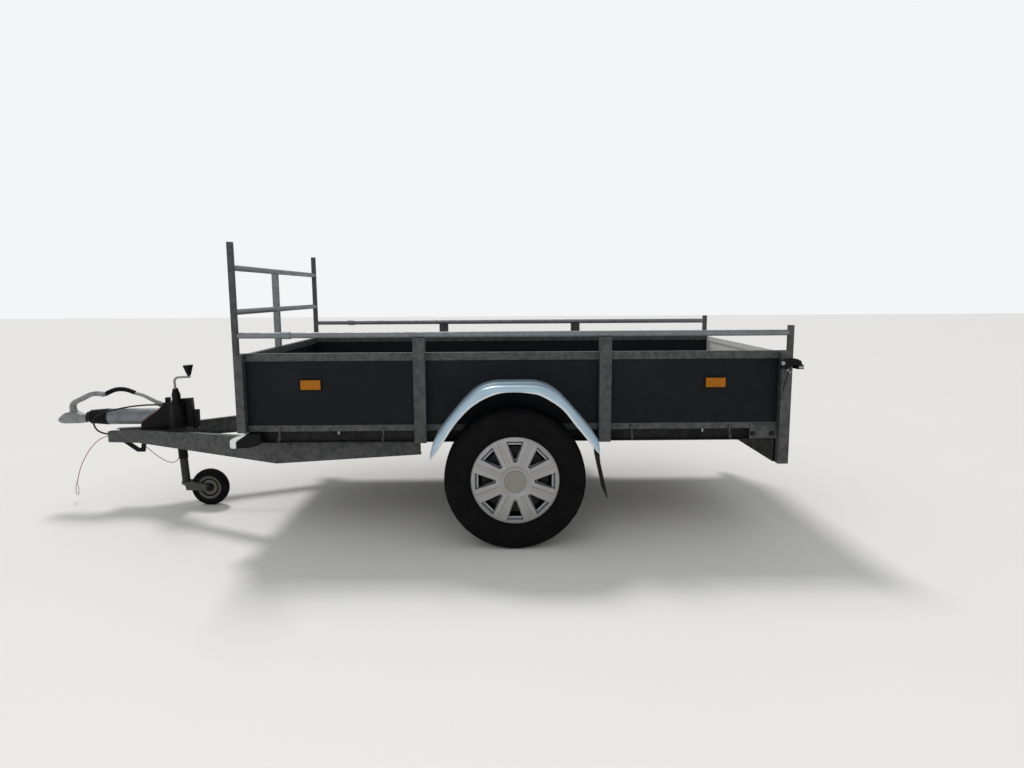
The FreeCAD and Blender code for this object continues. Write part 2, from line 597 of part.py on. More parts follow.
def hinge_lugs(y, moving):
    """Make the knuckles of one hinge: the middle one moves with the gate, the outer two stay."""
    third = HINGE_L / 3
    half_t = HINGE_PLATE_T / 2
    if moving:
        y0, y1 = y - third / 2 + HINGE_SIDE_GAP, y + third / 2 - HINGE_SIDE_GAP
        barrel = rod((HINGE_X, y0, HINGE_Z), (HINGE_X, y1, HINGE_Z), HINGE_D)
        strap = box(HINGE_X - half_t, GATE_REAR_X, y0, y1, HINGE_Z, HINGE_STRAP_TOP)
        bore = rod((HINGE_X, y0 - 1, HINGE_Z), (HINGE_X, y1 + 1, HINGE_Z), HINGE_PIN_D + 2 * HINGE_PIN_GAP)
        return [fused([barrel, strap]).cut(bore)]
    pieces = [rod((HINGE_X, y - HINGE_L / 2, HINGE_Z), (HINGE_X, y + HINGE_L / 2, HINGE_Z), HINGE_PIN_D)]
    for middle in (y - third, y + third):
        y0, y1 = middle - third / 2, middle + third / 2
        pieces.append(rod((HINGE_X, y0, HINGE_Z), (HINGE_X, y1, HINGE_Z), HINGE_D))
        pieces.append(box(HINGE_X, REAR_X, y0, y1, HINGE_Z - half_t, HINGE_Z + half_t))
    return [fused(pieces)]


def make_tailgate():
    """Make the gate between the sides: panel, the profiles round it, hinges and latches."""
    side, low, high = GATE_SIDE_Y, GATE_BOTTOM, GATE_TOP
    inset = PROFILE_T + SEAT
    save("tailgate_panel", box(GATE_REAR_X + inset, GATE_IN_X - inset, inset - side, side - inset,
                               low + inset, high - inset))
    frame = box(GATE_REAR_X, GATE_IN_X, -side, side, low, high)
    window = box(GATE_REAR_X - 1, GATE_IN_X + 1, GATE_PROFILE_H - side, side - GATE_PROFILE_H,
                 low + GATE_PROFILE_H, high - GATE_PROFILE_H)
    slot = box(GATE_REAR_X + PROFILE_T, GATE_IN_X - PROFILE_T, PROFILE_T - side, side - PROFILE_T,
               low + PROFILE_T, high - PROFILE_T)
    straps = [piece for y in HINGE_Y for piece in hinge_lugs(y, True)]
    save("tailgate_frame", fused([frame.cut([window, slot]), *straps]))
    save("tailgate_hinges", *(piece for y in HINGE_Y for piece in hinge_lugs(y, False)))
    save("tailgate_latches", *both(make_latch()))


def make_latch():
    """Make one over-centre latch: a curved lever beside the post, with its foot behind the post."""
    y0 = POST_Y + GATE_GAP
    lever = plate_xz([(GATE_REAR_X + x, GATE_TOP + z) for x, z in LATCH_LEVER], y0, y0 + LATCH_T)
    length, thickness, low, high = LATCH_FOOT
    rear = GATE_REAR_X - SEAT
    foot = box(rear - thickness, rear, y0 - length, y0 + LATCH_T / 2, GATE_TOP + low, GATE_TOP + high)
    return fused([lever, foot])


def make_lamps():
    """Make the lamp bar with its lamps, the front marker lamps and the side reflectors."""
    front = REAR_X + 1 + LAMP_BAR_DEPTH
    bar = box(REAR_X + 1, front, -SIDE_Y + SEAT, SIDE_Y - SEAT, LAMP_POST_BOTTOM + 2, LAMP_BAR_TOP)
    hollow = box(REAR_X, front - CHANNEL_T, -SIDE_Y, SIDE_Y, LAMP_POST_BOTTOM + 2 + CHANNEL_T,
                 LAMP_BAR_TOP - CHANNEL_T)
    save("rear_lamp_bar", bar.cut(hollow))
    lamp = box(REAR_X + 2 * CHANNEL_T, front - CHANNEL_T - SEAT, LAMP_IN_Y, LAMP_OUT_Y,
               LAMP_POST_BOTTOM + 2 * CHANNEL_T, LAMP_BAR_TOP - 2 * CHANNEL_T)
    save("rear_lamps", *both(lamp))
    y0, y1 = RAIL_OUT_Y + SEAT, SIDE_Y + MARKER_W
    body = plate_xz([*MARKER_SEAM, *MARKER_BODY], y0, y1)
    seam = [(x + SEAT, z + SEAT) for x, z in MARKER_SEAM]
    lens = plate_xz([*seam, *MARKER_LENS], y0 + MARKER_RIM, y1 - MARKER_RIM)
    save("marker_lamp_bodies", *both(body))
    save("marker_lamp_lenses", *both(lens))
    bases, lenses = [], []
    for x in REFLECTOR_X:
        for length, height, y_in, y_out, found in (
                (*REFLECTOR_BASE, BOARD_OUT_Y + SEAT, BOARD_OUT_Y + 4, bases),
                (*REFLECTOR_SIZE, BOARD_OUT_Y + 4 + SEAT, BOARD_OUT_Y + 10, lenses)):
            found += both(box(x - length / 2, x + length / 2, y_in, y_out,
                              REFLECTOR_Z - height / 2, REFLECTOR_Z + height / 2))
    save("reflector_bases", *bases)
    save("reflector_lenses", *lenses)


def crown_face(inset, y):
    """Return the face under the mudguard's crown, set in from its outside, closed along the bottom."""
    outline = [(x, y, z) for x, z in GUARD_CROWN]
    wire = rounded_wire(outline, GUARD_CROWN_R)
    close = Part.LineSegment(V(*outline[-1]), V(*outline[0])).toShape()
    closed = Part.Wire(wire.Edges + [close])
    if inset:
        closed = closed.makeOffset2D(-inset)
    return Part.Face(closed)


def make_mudguards():
    """Make the pressed mudguards, with a rounded outer edge and a lip cut along an arc."""
    y0 = SIDE_Y + SEAT
    y1 = y0 + GUARD_WIDTH
    outer = crown_face(0, y0).extrude(V(0, GUARD_WIDTH, 0))
    outer = outer.makeFillet(GUARD_EDGE_R, outer_edges(outer, y1))
    inner = crown_face(GUARD_T, y0 - 1).extrude(V(0, GUARD_WIDTH - GUARD_T + 1, 0))
    inner = inner.makeFillet(GUARD_EDGE_R - GUARD_T, outer_edges(inner, y1 - GUARD_T))
    shell = outer.cut(inner)
    start = y1 - GUARD_WIDTH / 2
    curve = spline_xz(GUARD_LIP, start)
    corners = [(x, start, z) for x, z in (GUARD_LIP[-1], (GUARD_LIP[-1][0], FLAP_BOTTOM),
                                          (GUARD_LIP[0][0], FLAP_BOTTOM), GUARD_LIP[0])]
    lines = Part.makePolygon([V(*c) for c in corners]).Edges
    lip = Part.Face(Part.Wire([curve, *lines])).extrude(V(0, GUARD_WIDTH, 0))
    below = [box(0, sign * TYRE_OD, y0 - 1, y1 + 1, FLAP_BOTTOM, end[1])
             for sign, end in ((1, GUARD_LIP[0]), (-1, GUARD_LIP[-1]))]
    guard = shell.cut([lip, *below])
    guard = max(guard.Solids, key=lambda s: s.Volume)
    save("mudguard_left", guard)
    save("mudguard_right", mirrored(guard))
    (upper_x, upper_z), (lower_x, lower_z) = GUARD_CROWN[-2:]
    slope = (upper_x - lower_x) / (upper_z - lower_z)
    bend = lower_x + (GUARD_T + SEAT) * math.hypot(1, slope)
    top = bend + (FLAP_TOP - GUARD_BOTTOM) * slope
    flap = plate_xz([(top, FLAP_TOP), (bend, GUARD_BOTTOM), (FLAP_X, FLAP_BOTTOM),
                     (FLAP_X + FLAP_T, FLAP_BOTTOM), (bend + FLAP_T, GUARD_BOTTOM), (top + FLAP_T, FLAP_TOP)],
                    y0 + FLAP_SET_IN, y1 - GUARD_EDGE_R)
    save("mud_flaps", *both(flap))


def outer_edges(solid, y):
    """Return the crown's edges on the outer face, without the straight ones along the bottom."""
    found = []
    for edge in solid.Edges:
        points = [v.Point for v in edge.Vertexes]
        on_face = all(abs(p.y - y) < 1e-6 for p in points)
        bottom = all(p.z < GUARD_BOTTOM + 2 * GUARD_T for p in points)
        if on_face and not bottom:
            found.append(edge)
    return found


def make_axle():
    """Make the torsion axle with its brackets, trailing arms, stub axles and brake backplates."""
    half = AXLE_TUBE / 2
    tube = box(AXLE_X - half, AXLE_X + half, -SIDE_Y, SIDE_Y, AXLE_Z - half, AXLE_Z + half)
    pieces = [tube]
    for sign in (-1, 1):
        pieces.append(box(AXLE_X - BRACKET_L / 2, AXLE_X + BRACKET_L / 2, sign * (RAIL_IN_Y + CHANNEL_T),
                          sign * (RAIL_OUT_Y - CHANNEL_T), AXLE_Z + half, CHASSIS_BOTTOM))
        arm_in, arm_out = SIDE_Y, SIDE_Y + ARM_T
        outline = [(AXLE_X + x, AXLE_Z + z) for x, z in ARM_FRONT] + [(x, HUB_Z + z) for x, z in ARM_REAR]
        pieces.append(plate_xz(outline, sign * arm_in, sign * arm_out))
        stub_end, plate_end = HUB_FACE_Y - HUB_DEPTH - STUB_GAP, BACKPLATE_Y + BACKPLATE_T
        pieces.append(rod((0, sign * arm_out, HUB_Z), (0, sign * stub_end, HUB_Z), STUB_D))
        pieces.append(rod((0, sign * BACKPLATE_Y, HUB_Z), (0, sign * plate_end, HUB_Z), DRUM_D))
    save("axle", fused(pieces))


def make_wheel(side, sign):
    """Make one wheel: brake drum with the hub, steel rim, tyre and hubcap."""
    drum_r = DRUM_D / 2
    drum_in = HUB_FACE_Y - DRUM_WIDTH
    bore_r = STUB_D / 2 + HUB_BORE_GAP
    face, bore_end = HUB_FACE_Y, HUB_FACE_Y - HUB_DEPTH
    hub_end, cap_end = face + HUB_L, face + HUB_L + CAP_L
    drum = revolved_y([(bore_r, drum_in), (drum_r, drum_in), (drum_r, face - DRUM_BEVEL),
                       (drum_r - DRUM_BEVEL, face), (HUB_R, face), (HUB_R, hub_end), (CAP_R, cap_end),
                       (0, cap_end), (0, bore_end), (bore_r, bore_end)], 0, 0, HUB_Z)
    half = RIM_WIDTH / 2
    seat, flange, well = RIM_D / 2, RIM_FLANGE_D / 2, RIM_D / 2 - RIM_WELL
    wall, lip = RIM_WALL, RIM_FLANGE_T
    (in_a, in_b), (out_a, out_b) = WELL_INNER_Y, WELL_OUTER_Y
    centre_r, step = HUB_R + HUB_BORE_GAP, wall / 2
    disc_in = [(centre_r, SEAT), (DISC_FOOT_R, SEAT), *DISC_INNER]
    disc_out = [*DISC_OUTER, (centre_r, DISC_OUTER[-1][1])]
    seat_in, well_in = seat - wall, well - wall
    profile = [(r, WHEEL_OFFSET + d) for r, d in disc_in]
    profile += [(well_in, WHEEL_OFFSET - step), (well_in, in_b - step), (seat_in, in_a - step),
                (seat_in, -half), (flange - lip, -half - lip), (flange, -half), (seat, wall - half),
                (seat, in_a), (well, in_b), (well, out_a), (seat, out_b), (seat, half - wall), (flange, half),
                (flange - lip, half + lip), (seat_in, half), (seat_in, out_b - step),
                (well_in, WHEEL_OFFSET + wall)]
    profile += [(r, WHEEL_OFFSET + d) for r, d in disc_out]
    rim = revolved_y(profile, HALF_TRACK, 0, HUB_Z)
    tread, width = TYRE_OD / 2, TYRE_WIDTH / 2
    bead = seat + SEAT
    inner = [(bead, BEAD_W - half), (flange + BEAD_EDGE[0], BEAD_W - half - BEAD_EDGE[1]),
             (flange + LOWER_WALL[0], LOWER_WALL[1] - width), ((bead + tread) / 2, -width)]
    inner += [(tread - drop, inset - width) for drop, inset in TYRE_WALL]
    tyre = revolved_y(inner + [(r, -y) for r, y in reversed(inner)], HALF_TRACK, 0, HUB_Z)
    shapes = {"brake_drum": drum, "rim": rim, "tyre": tyre, "hubcap": make_hubcap()}
    for name, shape in shapes.items():
        save("%s_%s" % (name, side), shape if sign > 0 else mirrored(shape))


def window_cone(base, low, high, grow):
    """Make the tapered opening of one wheel cover window, between two heights, grown by a wall."""
    wires = []
    for height in (low, high):
        share = (height - WINDOW_HEIGHTS[0]) / (WINDOW_HEIGHTS[1] - WINDOW_HEIGHTS[0])
        (r_in, half_in), (r_out, half_out) = (
            [a + share * (b - a) for a, b in zip(*ends)] for ends in zip(WINDOW_FLOOR, WINDOW_FACE))
        low_z, high_z = HUB_Z + r_in - grow, HUB_Z + r_out + grow
        corners = [V(-half_in - grow, base + height, low_z), V(half_in + grow, base + height, low_z),
                   V(half_out + grow, base + height, high_z), V(-half_out - grow, base + height, high_z)]
        wires.append(Part.makePolygon(corners + corners[:1]))
    return Part.makeLoft(wires, True, True)


def make_hubcap():
    """Make the wheel cover: a domed disc with grooved spokes, and windows in sloping frames between them."""
    rim_face = HALF_TRACK + RIM_WIDTH / 2 + RIM_FLANGE_T + SEAT
    base = rim_face + HUBCAP_T
    under = [(r, height - HUBCAP_T) for r, height in reversed(HUBCAP_FRONT)]
    disc = revolved_y([*HUBCAP_FRONT, *under], base, 0, HUB_Z)
    below = revolved_y([*HUBCAP_FRONT, (HUBCAP_FRONT[-1][0], -HUBCAP_T), (0, -HUBCAP_T)], base, 0, HUB_Z)
    low, clear = WINDOW_HEIGHTS[0], HUBCAP_FRONT[0][1] + HUBCAP_T
    outer = window_cone(base, low, clear, WINDOW_FRAME_T)
    inner = window_cone(base, low - WINDOW_FRAME_T, clear, 0)
    frame = outer.cut(inner).common(below)
    floor = [(base + height - GROOVE_DEPTH, HUB_Z + r) for r, height in GROOVE]
    above = [(base + clear, z) for y, z in (floor[-1], floor[0])]
    groove = plate_yz([*floor, *above], -GROOVE_W / 2, GROOVE_W / 2)
    groove.rotate(V(0, 0, HUB_Z), V(0, 1, 0), 180.0 / HUBCAP_SPOKES)
    cuts, frames = [], []
    for index in range(HUBCAP_SPOKES):
        for shape, found in ((outer, cuts), (groove, cuts), (frame, frames)):
            turned = shape.copy()
            turned.rotate(V(0, 0, HUB_Z), V(0, 1, 0), 360.0 / HUBCAP_SPOKES * index)
            found.append(turned)
    return fused([disc.cut(cuts), *frames])


def head_section(x, half, low, high, chamfer):
    """Make one eight-sided section of the cast coupling head."""
    outline = [(half, low + chamfer), (half, high - chamfer), (half - chamfer, high), (chamfer - half, high),
               (-half, high - chamfer), (-half, low + chamfer), (chamfer - half, low), (half - chamfer, low)]
    corners = [V(x, y, z) for y, z in outline]
    return Part.makePolygon(corners + corners[:1])


def make_bellows():
    """Make the rubber bellows, with ribs that become smaller to the front and a plain collar."""
    rear = TUBE_FRONT_X + SEAT
    ribs_end = BELLOWS_FRONT_X - COLLAR_L
    steps = 2 * BELLOWS_RIBS
    profile = [(SLIDE_D / 2, rear)]
    for index in range(steps + 1):
        share = index / steps
        outer_r = (BELLOWS_D[1] + share * (BELLOWS_D[0] - BELLOWS_D[1])) / 2
        valley = 0 if index % 2 else BELLOWS_RIB_DEPTH
        profile.append((outer_r - valley, rear + share * (ribs_end - rear)))
    front = BELLOWS_FRONT_X - SEAT
    profile += [(COLLAR_D / 2, ribs_end), (COLLAR_D / 2, front), (SLIDE_D / 2, front)]
    face = polygon([(x, 0, TUBE_Z + r) for r, x in profile])
    save("bellows", face.revolve(V(0, 0, TUBE_Z), V(1, 0, 0), 360))


def make_coupling():
    """Make the overrun tube, the cast ball coupling head and its lever."""
    outer = rod((TUBE_REAR_X, 0, TUBE_Z), (TUBE_FRONT_X, 0, TUBE_Z), TUBE_D)
    slide = rod((TUBE_FRONT_X, 0, TUBE_Z), (BELLOWS_FRONT_X, 0, TUBE_Z), SLIDE_D - 2 * SEAT)
    save("overrun_tube", fused([outer, slide]))
    head = Part.makeLoft([head_section(*section) for section in HEAD_SECTIONS], True, True)
    radius = BALL_D / 2 + BALL_GAP
    ball = Part.makeSphere(radius, V(SOCKET_X, 0, BALL_Z))
    skirt = rod((SOCKET_X, 0, HEAD_BOTTOM - BALL_GAP), (SOCKET_X, 0, BALL_Z), 2 * radius)
    save("coupling_head", head.cut(fused([ball, skirt])))
    start = -HANDLE_W / 2
    top, under = spline_xz(HANDLE_TOP, start), spline_xz(HANDLE_UNDER, start)
    ends = [Part.makeLine(V(a[0], start, a[1]), V(b[0], start, b[1]))
            for a, b in ((HANDLE_TOP[-1], HANDLE_UNDER[0]), (HANDLE_UNDER[-1], HANDLE_TOP[0]))]
    lever = Part.Face(Part.Wire([top, ends[0], under, ends[1]])).extrude(V(0, HANDLE_W, 0))
    save("coupling_handle", lever.cut(head))


def make_overrun_bracket():
    """Make the welded seat of the overrun tube: a plate across the beams and two cheeks."""
    wires = []
    for x in (BRACKET_FRONT_X, BRACKET_REAR_X):
        web, low, high = beam_at(x)
        half = web - SEAT_PLATE_INSET
        low, high = high + SEAT, high + CHEEK_T
        corners = [V(x, -half, low), V(x, half, low), V(x, half, high), V(x, -half, high)]
        wires.append(Part.makePolygon(corners + corners[:1]))
    plate = Part.makeLoft(wires, True, True)
    front, back = BRACKET_FRONT_X, BRACKET_REAR_X
    low_front, low_back = beam_at(front)[2] + CHEEK_T - 1, beam_at(back)[2] + CHEEK_T - 1
    cheek = plate_xz([(front, low_front), (front, BRACKET_NOSE_Z), (BRACKET_SLOPE_X, BRACKET_TOP),
                      (back, BRACKET_TOP), (back, low_back)], CHEEK_IN_Y, CHEEK_OUT_Y)
    rear = box(back, back - CHEEK_T, -CHEEK_OUT_Y, CHEEK_OUT_Y, low_back, BRACKET_TOP)
    save("overrun_bracket", fused([plate, *both(cheek), rear]))


def make_handbrake():
    """Make the handbrake lever with its grip, the relay lever and the rod to the brakes."""
    y = -CHEEK_OUT_Y - SEAT - LEVER_T / 2
    half = LEVER_T / 2
    lever = plate_xz(LEVER_OUTLINE, y - half, y + half)
    px, pz = LEVER_PIVOT
    pivot = rod((px, y - LEVER_T, pz), (px, y + half, pz), LEVER_PIVOT_D)
    lever = fused([lever, pivot])
    save("handbrake_lever", lever)
    points = [V(x, y, z) for x, z in GRIP_ROUTE]
    path = rounded_wire(points, GRIP_BENDS)
    ring = Part.Wire(Part.makeCircle(GRIP_D / 2, points[0], points[1] - points[0]))
    save("handbrake_grip", path.makePipeShell([ring], True, False).cut(lever))
    under = TUBE_Z - TUBE_D / 2 - SEAT
    outline = [*RELAY_OUTLINE, (RELAY_HANGER[0], under), (RELAY_HANGER[1], under)]
    save("brake_relay_lever", plate_xz(outline, -RELAY_T / 2, RELAY_T / 2))
    y = RELAY_T / 2 + BRAKE_ROD_D / 2
    x, z = BRAKE_ROD_FRONT
    save("brake_rod", rod((x, y, z), (AXLE_X + AXLE_TUBE / 2, y, BRAKE_ROD_REAR_Z), BRAKE_ROD_D))


def make_jockey():
    """Make the jockey wheel: clamp and outer tube stay; inner tube slides, fork swivels, wheel turns."""
    x, y = JOCKEY_X, JOCKEY_Y
    outer = rod((x, y, JOCKEY_OUTER_BOTTOM), (x, y, JOCKEY_OUTER_TOP), JOCKEY_TUBE_D)
    inner_low, inner_top = FORK_TOP + SWIVEL_GAP, FORK_TOP + JOCKEY_INNER_L
    bore = rod((x, y, JOCKEY_OUTER_BOTTOM - 1), (x, y, inner_top + JOCKEY_UP + JOCKEY_END_GAP),
               JOCKEY_INNER_D + 2 * JOCKEY_BORE_GAP)
    save("jockey_outer_tube", leaned(outer.cut(bore)))
    save("jockey_clamp", leaned(make_jockey_clamp(x, y)))
    cap_top, neck_top = JOCKEY_OUTER_TOP + CAP_H, JOCKEY_OUTER_TOP + CAP_H + NECK_H
    cap = rod((x, y, JOCKEY_OUTER_TOP), (x, y, cap_top), CAP_D)
    neck = Part.makeCone(CAP_D / 2, CRANK_D, NECK_H, V(x, y, cap_top), V(0, 0, 1))
    kx = x - CRANK_ARM
    start = neck_top - CRANK_D
    path = rounded_wire([(x, y, start), (x, y, CRANK_Z), (kx - CRANK_D / 2, y, CRANK_Z)], (2 * CRANK_D,))
    ring = Part.Wire(Part.makeCircle(CRANK_D / 2, V(x, y, start), V(0, 0, 1)))
    save("jockey_crank", leaned(fused([cap, neck, path.makePipeShell([ring], True, False)])))
    seat = CRANK_Z + CRANK_D / 2 + SEAT
    knob = Part.makeCone(KNOB_D[0] / 2, KNOB_D[1] / 2, KNOB_TOP - seat, V(kx, y, seat), V(0, 0, 1))
    save("jockey_knob", leaned(knob))
    head_top = FORK_TOP - FORK_T - SWIVEL_GAP
    inner = rod((x, y, inner_low), (x, y, inner_top), JOCKEY_INNER_D)
    pin = rod((x, y, head_top), (x, y, inner_low), KINGPIN_D)
    head = rod((x, y, head_top - KINGPIN_HEAD_T), (x, y, head_top), KINGPIN_HEAD_D)
    save("jockey_inner_tube", leaned(fused([inner, pin, head])))
    make_jockey_fork(x, y)


def make_jockey_clamp(x, y):
    """Make the clamp on the beam that holds the jockey wheel's tube, with its toggle lever."""
    sleeve = rod((x, y, CLAMP_BOTTOM), (x, y, CLAMP_TOP), JOCKEY_TUBE_D + 2 * CLAMP_WALL)
    low, high = CLAMP_BOTTOM + CLAMP_WALL / 2, CLAMP_TOP - CLAMP_WALL / 2
    half = JOCKEY_TUBE_D / 2 + CLAMP_WALL
    deep = y - CLAMP_DEPTH
    body = box(x - half, x + half, deep, y + CLAMP_WALL, low, high)
    jaw = box(x, x + CLAMP_FRONT_REACH, deep, y - CLAMP_WALL, low, high)
    arm = box(x - CLAMP_REAR_REACH, x - JOCKEY_TUBE_D / 4, deep, y - CLAMP_WALL, low, CLAMP_ARM_TOP)
    rear, front, thickness = CLAMP_PLATE
    plate = box(x + rear, x + front, y - half, y + CLAMP_WALL, CLAMP_TOP - SEAT, CLAMP_TOP + thickness)
    rear, front, height = CLAMP_LUG
    lug = box(x + rear, x + front, y - half, y - CLAMP_WALL, CLAMP_TOP, CLAMP_TOP + thickness + height)
    foot = box(x - CLAMP_FOOT_L / 2, x + CLAMP_FOOT_L / 2, y + CLAMP_FOOT_Y[0], y + CLAMP_FOOT_Y[1],
               JOCKEY_Z + SEAT, CLAMP_BOTTOM + CLAMP_WALL)
    outline = [(x + along, z) for along, z in TOGGLE_OUTLINE]
    toggle_y = y - (CLAMP_DEPTH + CLAMP_WALL + TOGGLE_T) / 2
    toggle = plate_xz(outline, toggle_y, toggle_y + TOGGLE_T)
    clamp = fused([sleeve, body, jaw, arm, plate, lug, foot, toggle])
    bore = rod((x, y, CLAMP_BOTTOM - CLAMP_DEPTH), (x, y, CLAMP_TOP + CLAMP_DEPTH), JOCKEY_TUBE_D + 2 * SEAT)
    return clamp.cut(bore)


def make_jockey_fork(x, y):
    """Make the trailing fork and the small wheel in it."""
    radius = JOCKEY_WHEEL_D / 2
    wx, wz = leaned_xz(JOCKEY_WHEEL_X, radius, -BEAM_SLOPE)
    half = JOCKEY_WHEEL_W / 2 + FORK_GAP
    reach = half + FORK_PLATE_T
    low, high = FORK_TOP - FORK_T, FORK_TOP
    pieces = [rod((x, y, low), (x, y, high), FORK_D),
              box(x - FORK_CROWN[0], x - FORK_CROWN[1], y - reach, y + reach, low, high)]
    outline = [(x + along, FORK_TOP + up) for along, up in FORK_PLATE_FRONT]
    outline += [(wx + along, wz + up) for along, up in FORK_PLATE_END]
    outline.append((x + FORK_PLATE_REAR[0], FORK_TOP + FORK_PLATE_REAR[1]))
    for sign in (-1, 1):
        pieces.append(plate_xz(outline, y + sign * half, y + sign * reach))
    bore = rod((x, y, low - 1), (x, y, high + 1), KINGPIN_D + 2 * KINGPIN_GAP)
    axle = rod((wx, y - reach, wz), (wx, y + reach, wz), JOCKEY_AXLE_D)
    save("jockey_fork", leaned(fused(pieces).cut(bore).fuse(axle).removeSplitter()))
    width = JOCKEY_WHEEL_W / 2
    side = [(JOCKEY_AXLE_D / 2 + HUB_BORE_GAP, -width), *((r, inset - width) for r, inset in JOCKEY_RIM_SIDE)]
    rim = revolved_y(side + [(r, -d) for r, d in reversed(side)], y, JOCKEY_WHEEL_X, radius)
    side = [(JOCKEY_RIM_R + SEAT, JOCKEY_RIM_SIDE[-1][1] - width)]
    side += [(radius - drop, inset - width) for drop, inset in JOCKEY_TYRE_SIDE]
    tyre = revolved_y(side + [(r, -d) for r, d in reversed(side)], y, JOCKEY_WHEEL_X, radius)
    save("jockey_rim", rim)
    save("jockey_tyre", tyre)


def make_cords():
    """Make the lamp cable with its parked plug and holder, and the breakaway cable with its clip."""
    save("lamp_cable", cord(CABLE_ROUTE, CABLE_D, "lamp_cable"))
    x, y, z = CABLE_ROUTE[-1]
    save("plug", rod((x, y, z), (x - PLUG_L, y, z), PLUG_D))
    half = HOLDER_H / 2
    outside = y + PLUG_D / 2 - SLEEVE_SET_IN
    front = x - PLUG_L
    save("plug_holder", box(front - HOLDER_L, front, CHEEK_OUT_Y + SEAT, outside, z - half, z + half))
    pulled = cord(BREAKAWAY_ROUTE, WIRE_D, "breakaway_cable front")
    slack = cord(SLACK_ROUTE, WIRE_D, "breakaway_cable slack")
    save("breakaway_cable", pulled, slack)
    ex, ey, ez = BREAKAWAY_ROUTE[-1]
    half_w, half_t, hole = CLIP_W / 2, CLIP_T / 2, CLIP_W / 4
    clip = box(ex - half_w, ex + half_w, ey - half_t, ey + half_t, ez - CLIP_L, ez)
    opening = box(ex - hole, ex + hole, ey - CLIP_T, ey + CLIP_T, ez - CLIP_L + CLIP_T, ez - half_w)
    save("breakaway_clip", clip.cut(opening))


def main():
    """Build every node of the trailer."""
    os.makedirs("parts", exist_ok=True)
    make_drawbar()
    make_chassis()
    make_floor()
    make_sides()
    make_posts()
    make_rails()
    make_rack()
    make_front_board()
    make_tailgate()
    make_lamps()
    make_mudguards()
    make_axle()
    make_wheel("left", 1)
    make_wheel("right", -1)
    make_bellows()
    make_coupling()
    make_overrun_bracket()
    make_handbrake()
    make_jockey()
    make_cords()


if __name__ == "__main__":
    main()
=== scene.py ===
import logging
import math
from dataclasses import dataclass
from enum import Enum
from functools import cache
from typing import Callable, Iterable, Sequence

import bmesh
import bpy
from mathutils import Matrix, Vector
from mathutils.geometry import intersect_line_line_2d


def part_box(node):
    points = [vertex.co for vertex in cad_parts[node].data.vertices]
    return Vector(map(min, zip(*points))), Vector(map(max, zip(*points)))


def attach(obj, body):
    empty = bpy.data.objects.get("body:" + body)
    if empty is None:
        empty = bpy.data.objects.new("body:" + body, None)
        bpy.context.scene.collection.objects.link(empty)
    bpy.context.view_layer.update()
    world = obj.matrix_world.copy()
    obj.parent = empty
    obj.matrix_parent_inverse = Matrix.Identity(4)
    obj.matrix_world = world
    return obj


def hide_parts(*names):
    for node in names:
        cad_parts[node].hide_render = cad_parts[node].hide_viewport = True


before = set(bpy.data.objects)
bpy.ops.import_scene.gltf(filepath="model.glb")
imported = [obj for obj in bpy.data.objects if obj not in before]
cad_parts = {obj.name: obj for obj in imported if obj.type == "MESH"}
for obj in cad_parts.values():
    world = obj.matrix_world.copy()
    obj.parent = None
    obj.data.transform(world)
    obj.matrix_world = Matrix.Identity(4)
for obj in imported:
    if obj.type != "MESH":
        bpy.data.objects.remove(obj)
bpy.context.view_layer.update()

# Utility trailer: every piece is built in millimetres about the middle of the axle on the ground,
# +X to the coupling, +Y to the trailer's left, +Z up, and moved to the frame's metres at the end.

MM = 0.001
# The frame's origin, forward of the axle
ORIGIN_X = 604.2
HUB_Z = 319
# Half the track, and the outside of the side profiles
TRACK_Y = 775.1
SIDE_Y = 649.6
# Radians under which a CAD node's triangles are one face
FLAT = 0.02
log = logging.getLogger("trailer")

Point = Sequence[float]
Pair = tuple[float, float]
Pairs = Sequence[Pair]
Points = Sequence[Point]
# The foot of each bolt, the way it stands, the width of its head and, where it isn't 8, the height
Bolts = Sequence[tuple]
Tree = bpy.types.NodeTree
Socket = bpy.types.NodeSocket
Vert = bmesh.types.BMVert
Face = bmesh.types.BMFace
Places = dict[Vert, Pair]


def place(x: float, y: float, z: float) -> Vector:
    """Turn a place in millimetres about the axle into the frame's metres."""
    return Vector(((x - ORIGIN_X) * MM, y * MM, z * MM))


def linear(code: str) -> tuple[float, float, float, float]:
    """Turn an sRGB hex colour, with its leading #, into linear values and an alpha of one."""
    parts = [int(code[i:i + 2], 16) / 255 for i in (1, 3, 5)]
    return *(p / 12.92 if p <= 0.04045 else ((p + 0.055) / 1.055) ** 2.4 for p in parts), 1


def node(tree: Tree, kind: str, settings: dict | None = None, inputs: dict | None = None) -> bpy.types.Node:
    """Add a node with its settings, values and links.

    Args:
        tree: the material's node tree.
        kind: Blender's name for the node, after ShaderNode.
        settings: the node's own properties.
        inputs: a value or another node's output for each input, by name or number.

    Returns:
        The new node.
    """
    made = tree.nodes.new("ShaderNode" + kind)
    for key, value in (settings or {}).items():
        setattr(made, key, value)
    for key, value in (inputs or {}).items():
        if isinstance(value, Socket):
            tree.links.new(value, made.inputs[key])
        else:
            made.inputs[key].default_value = value
    return made


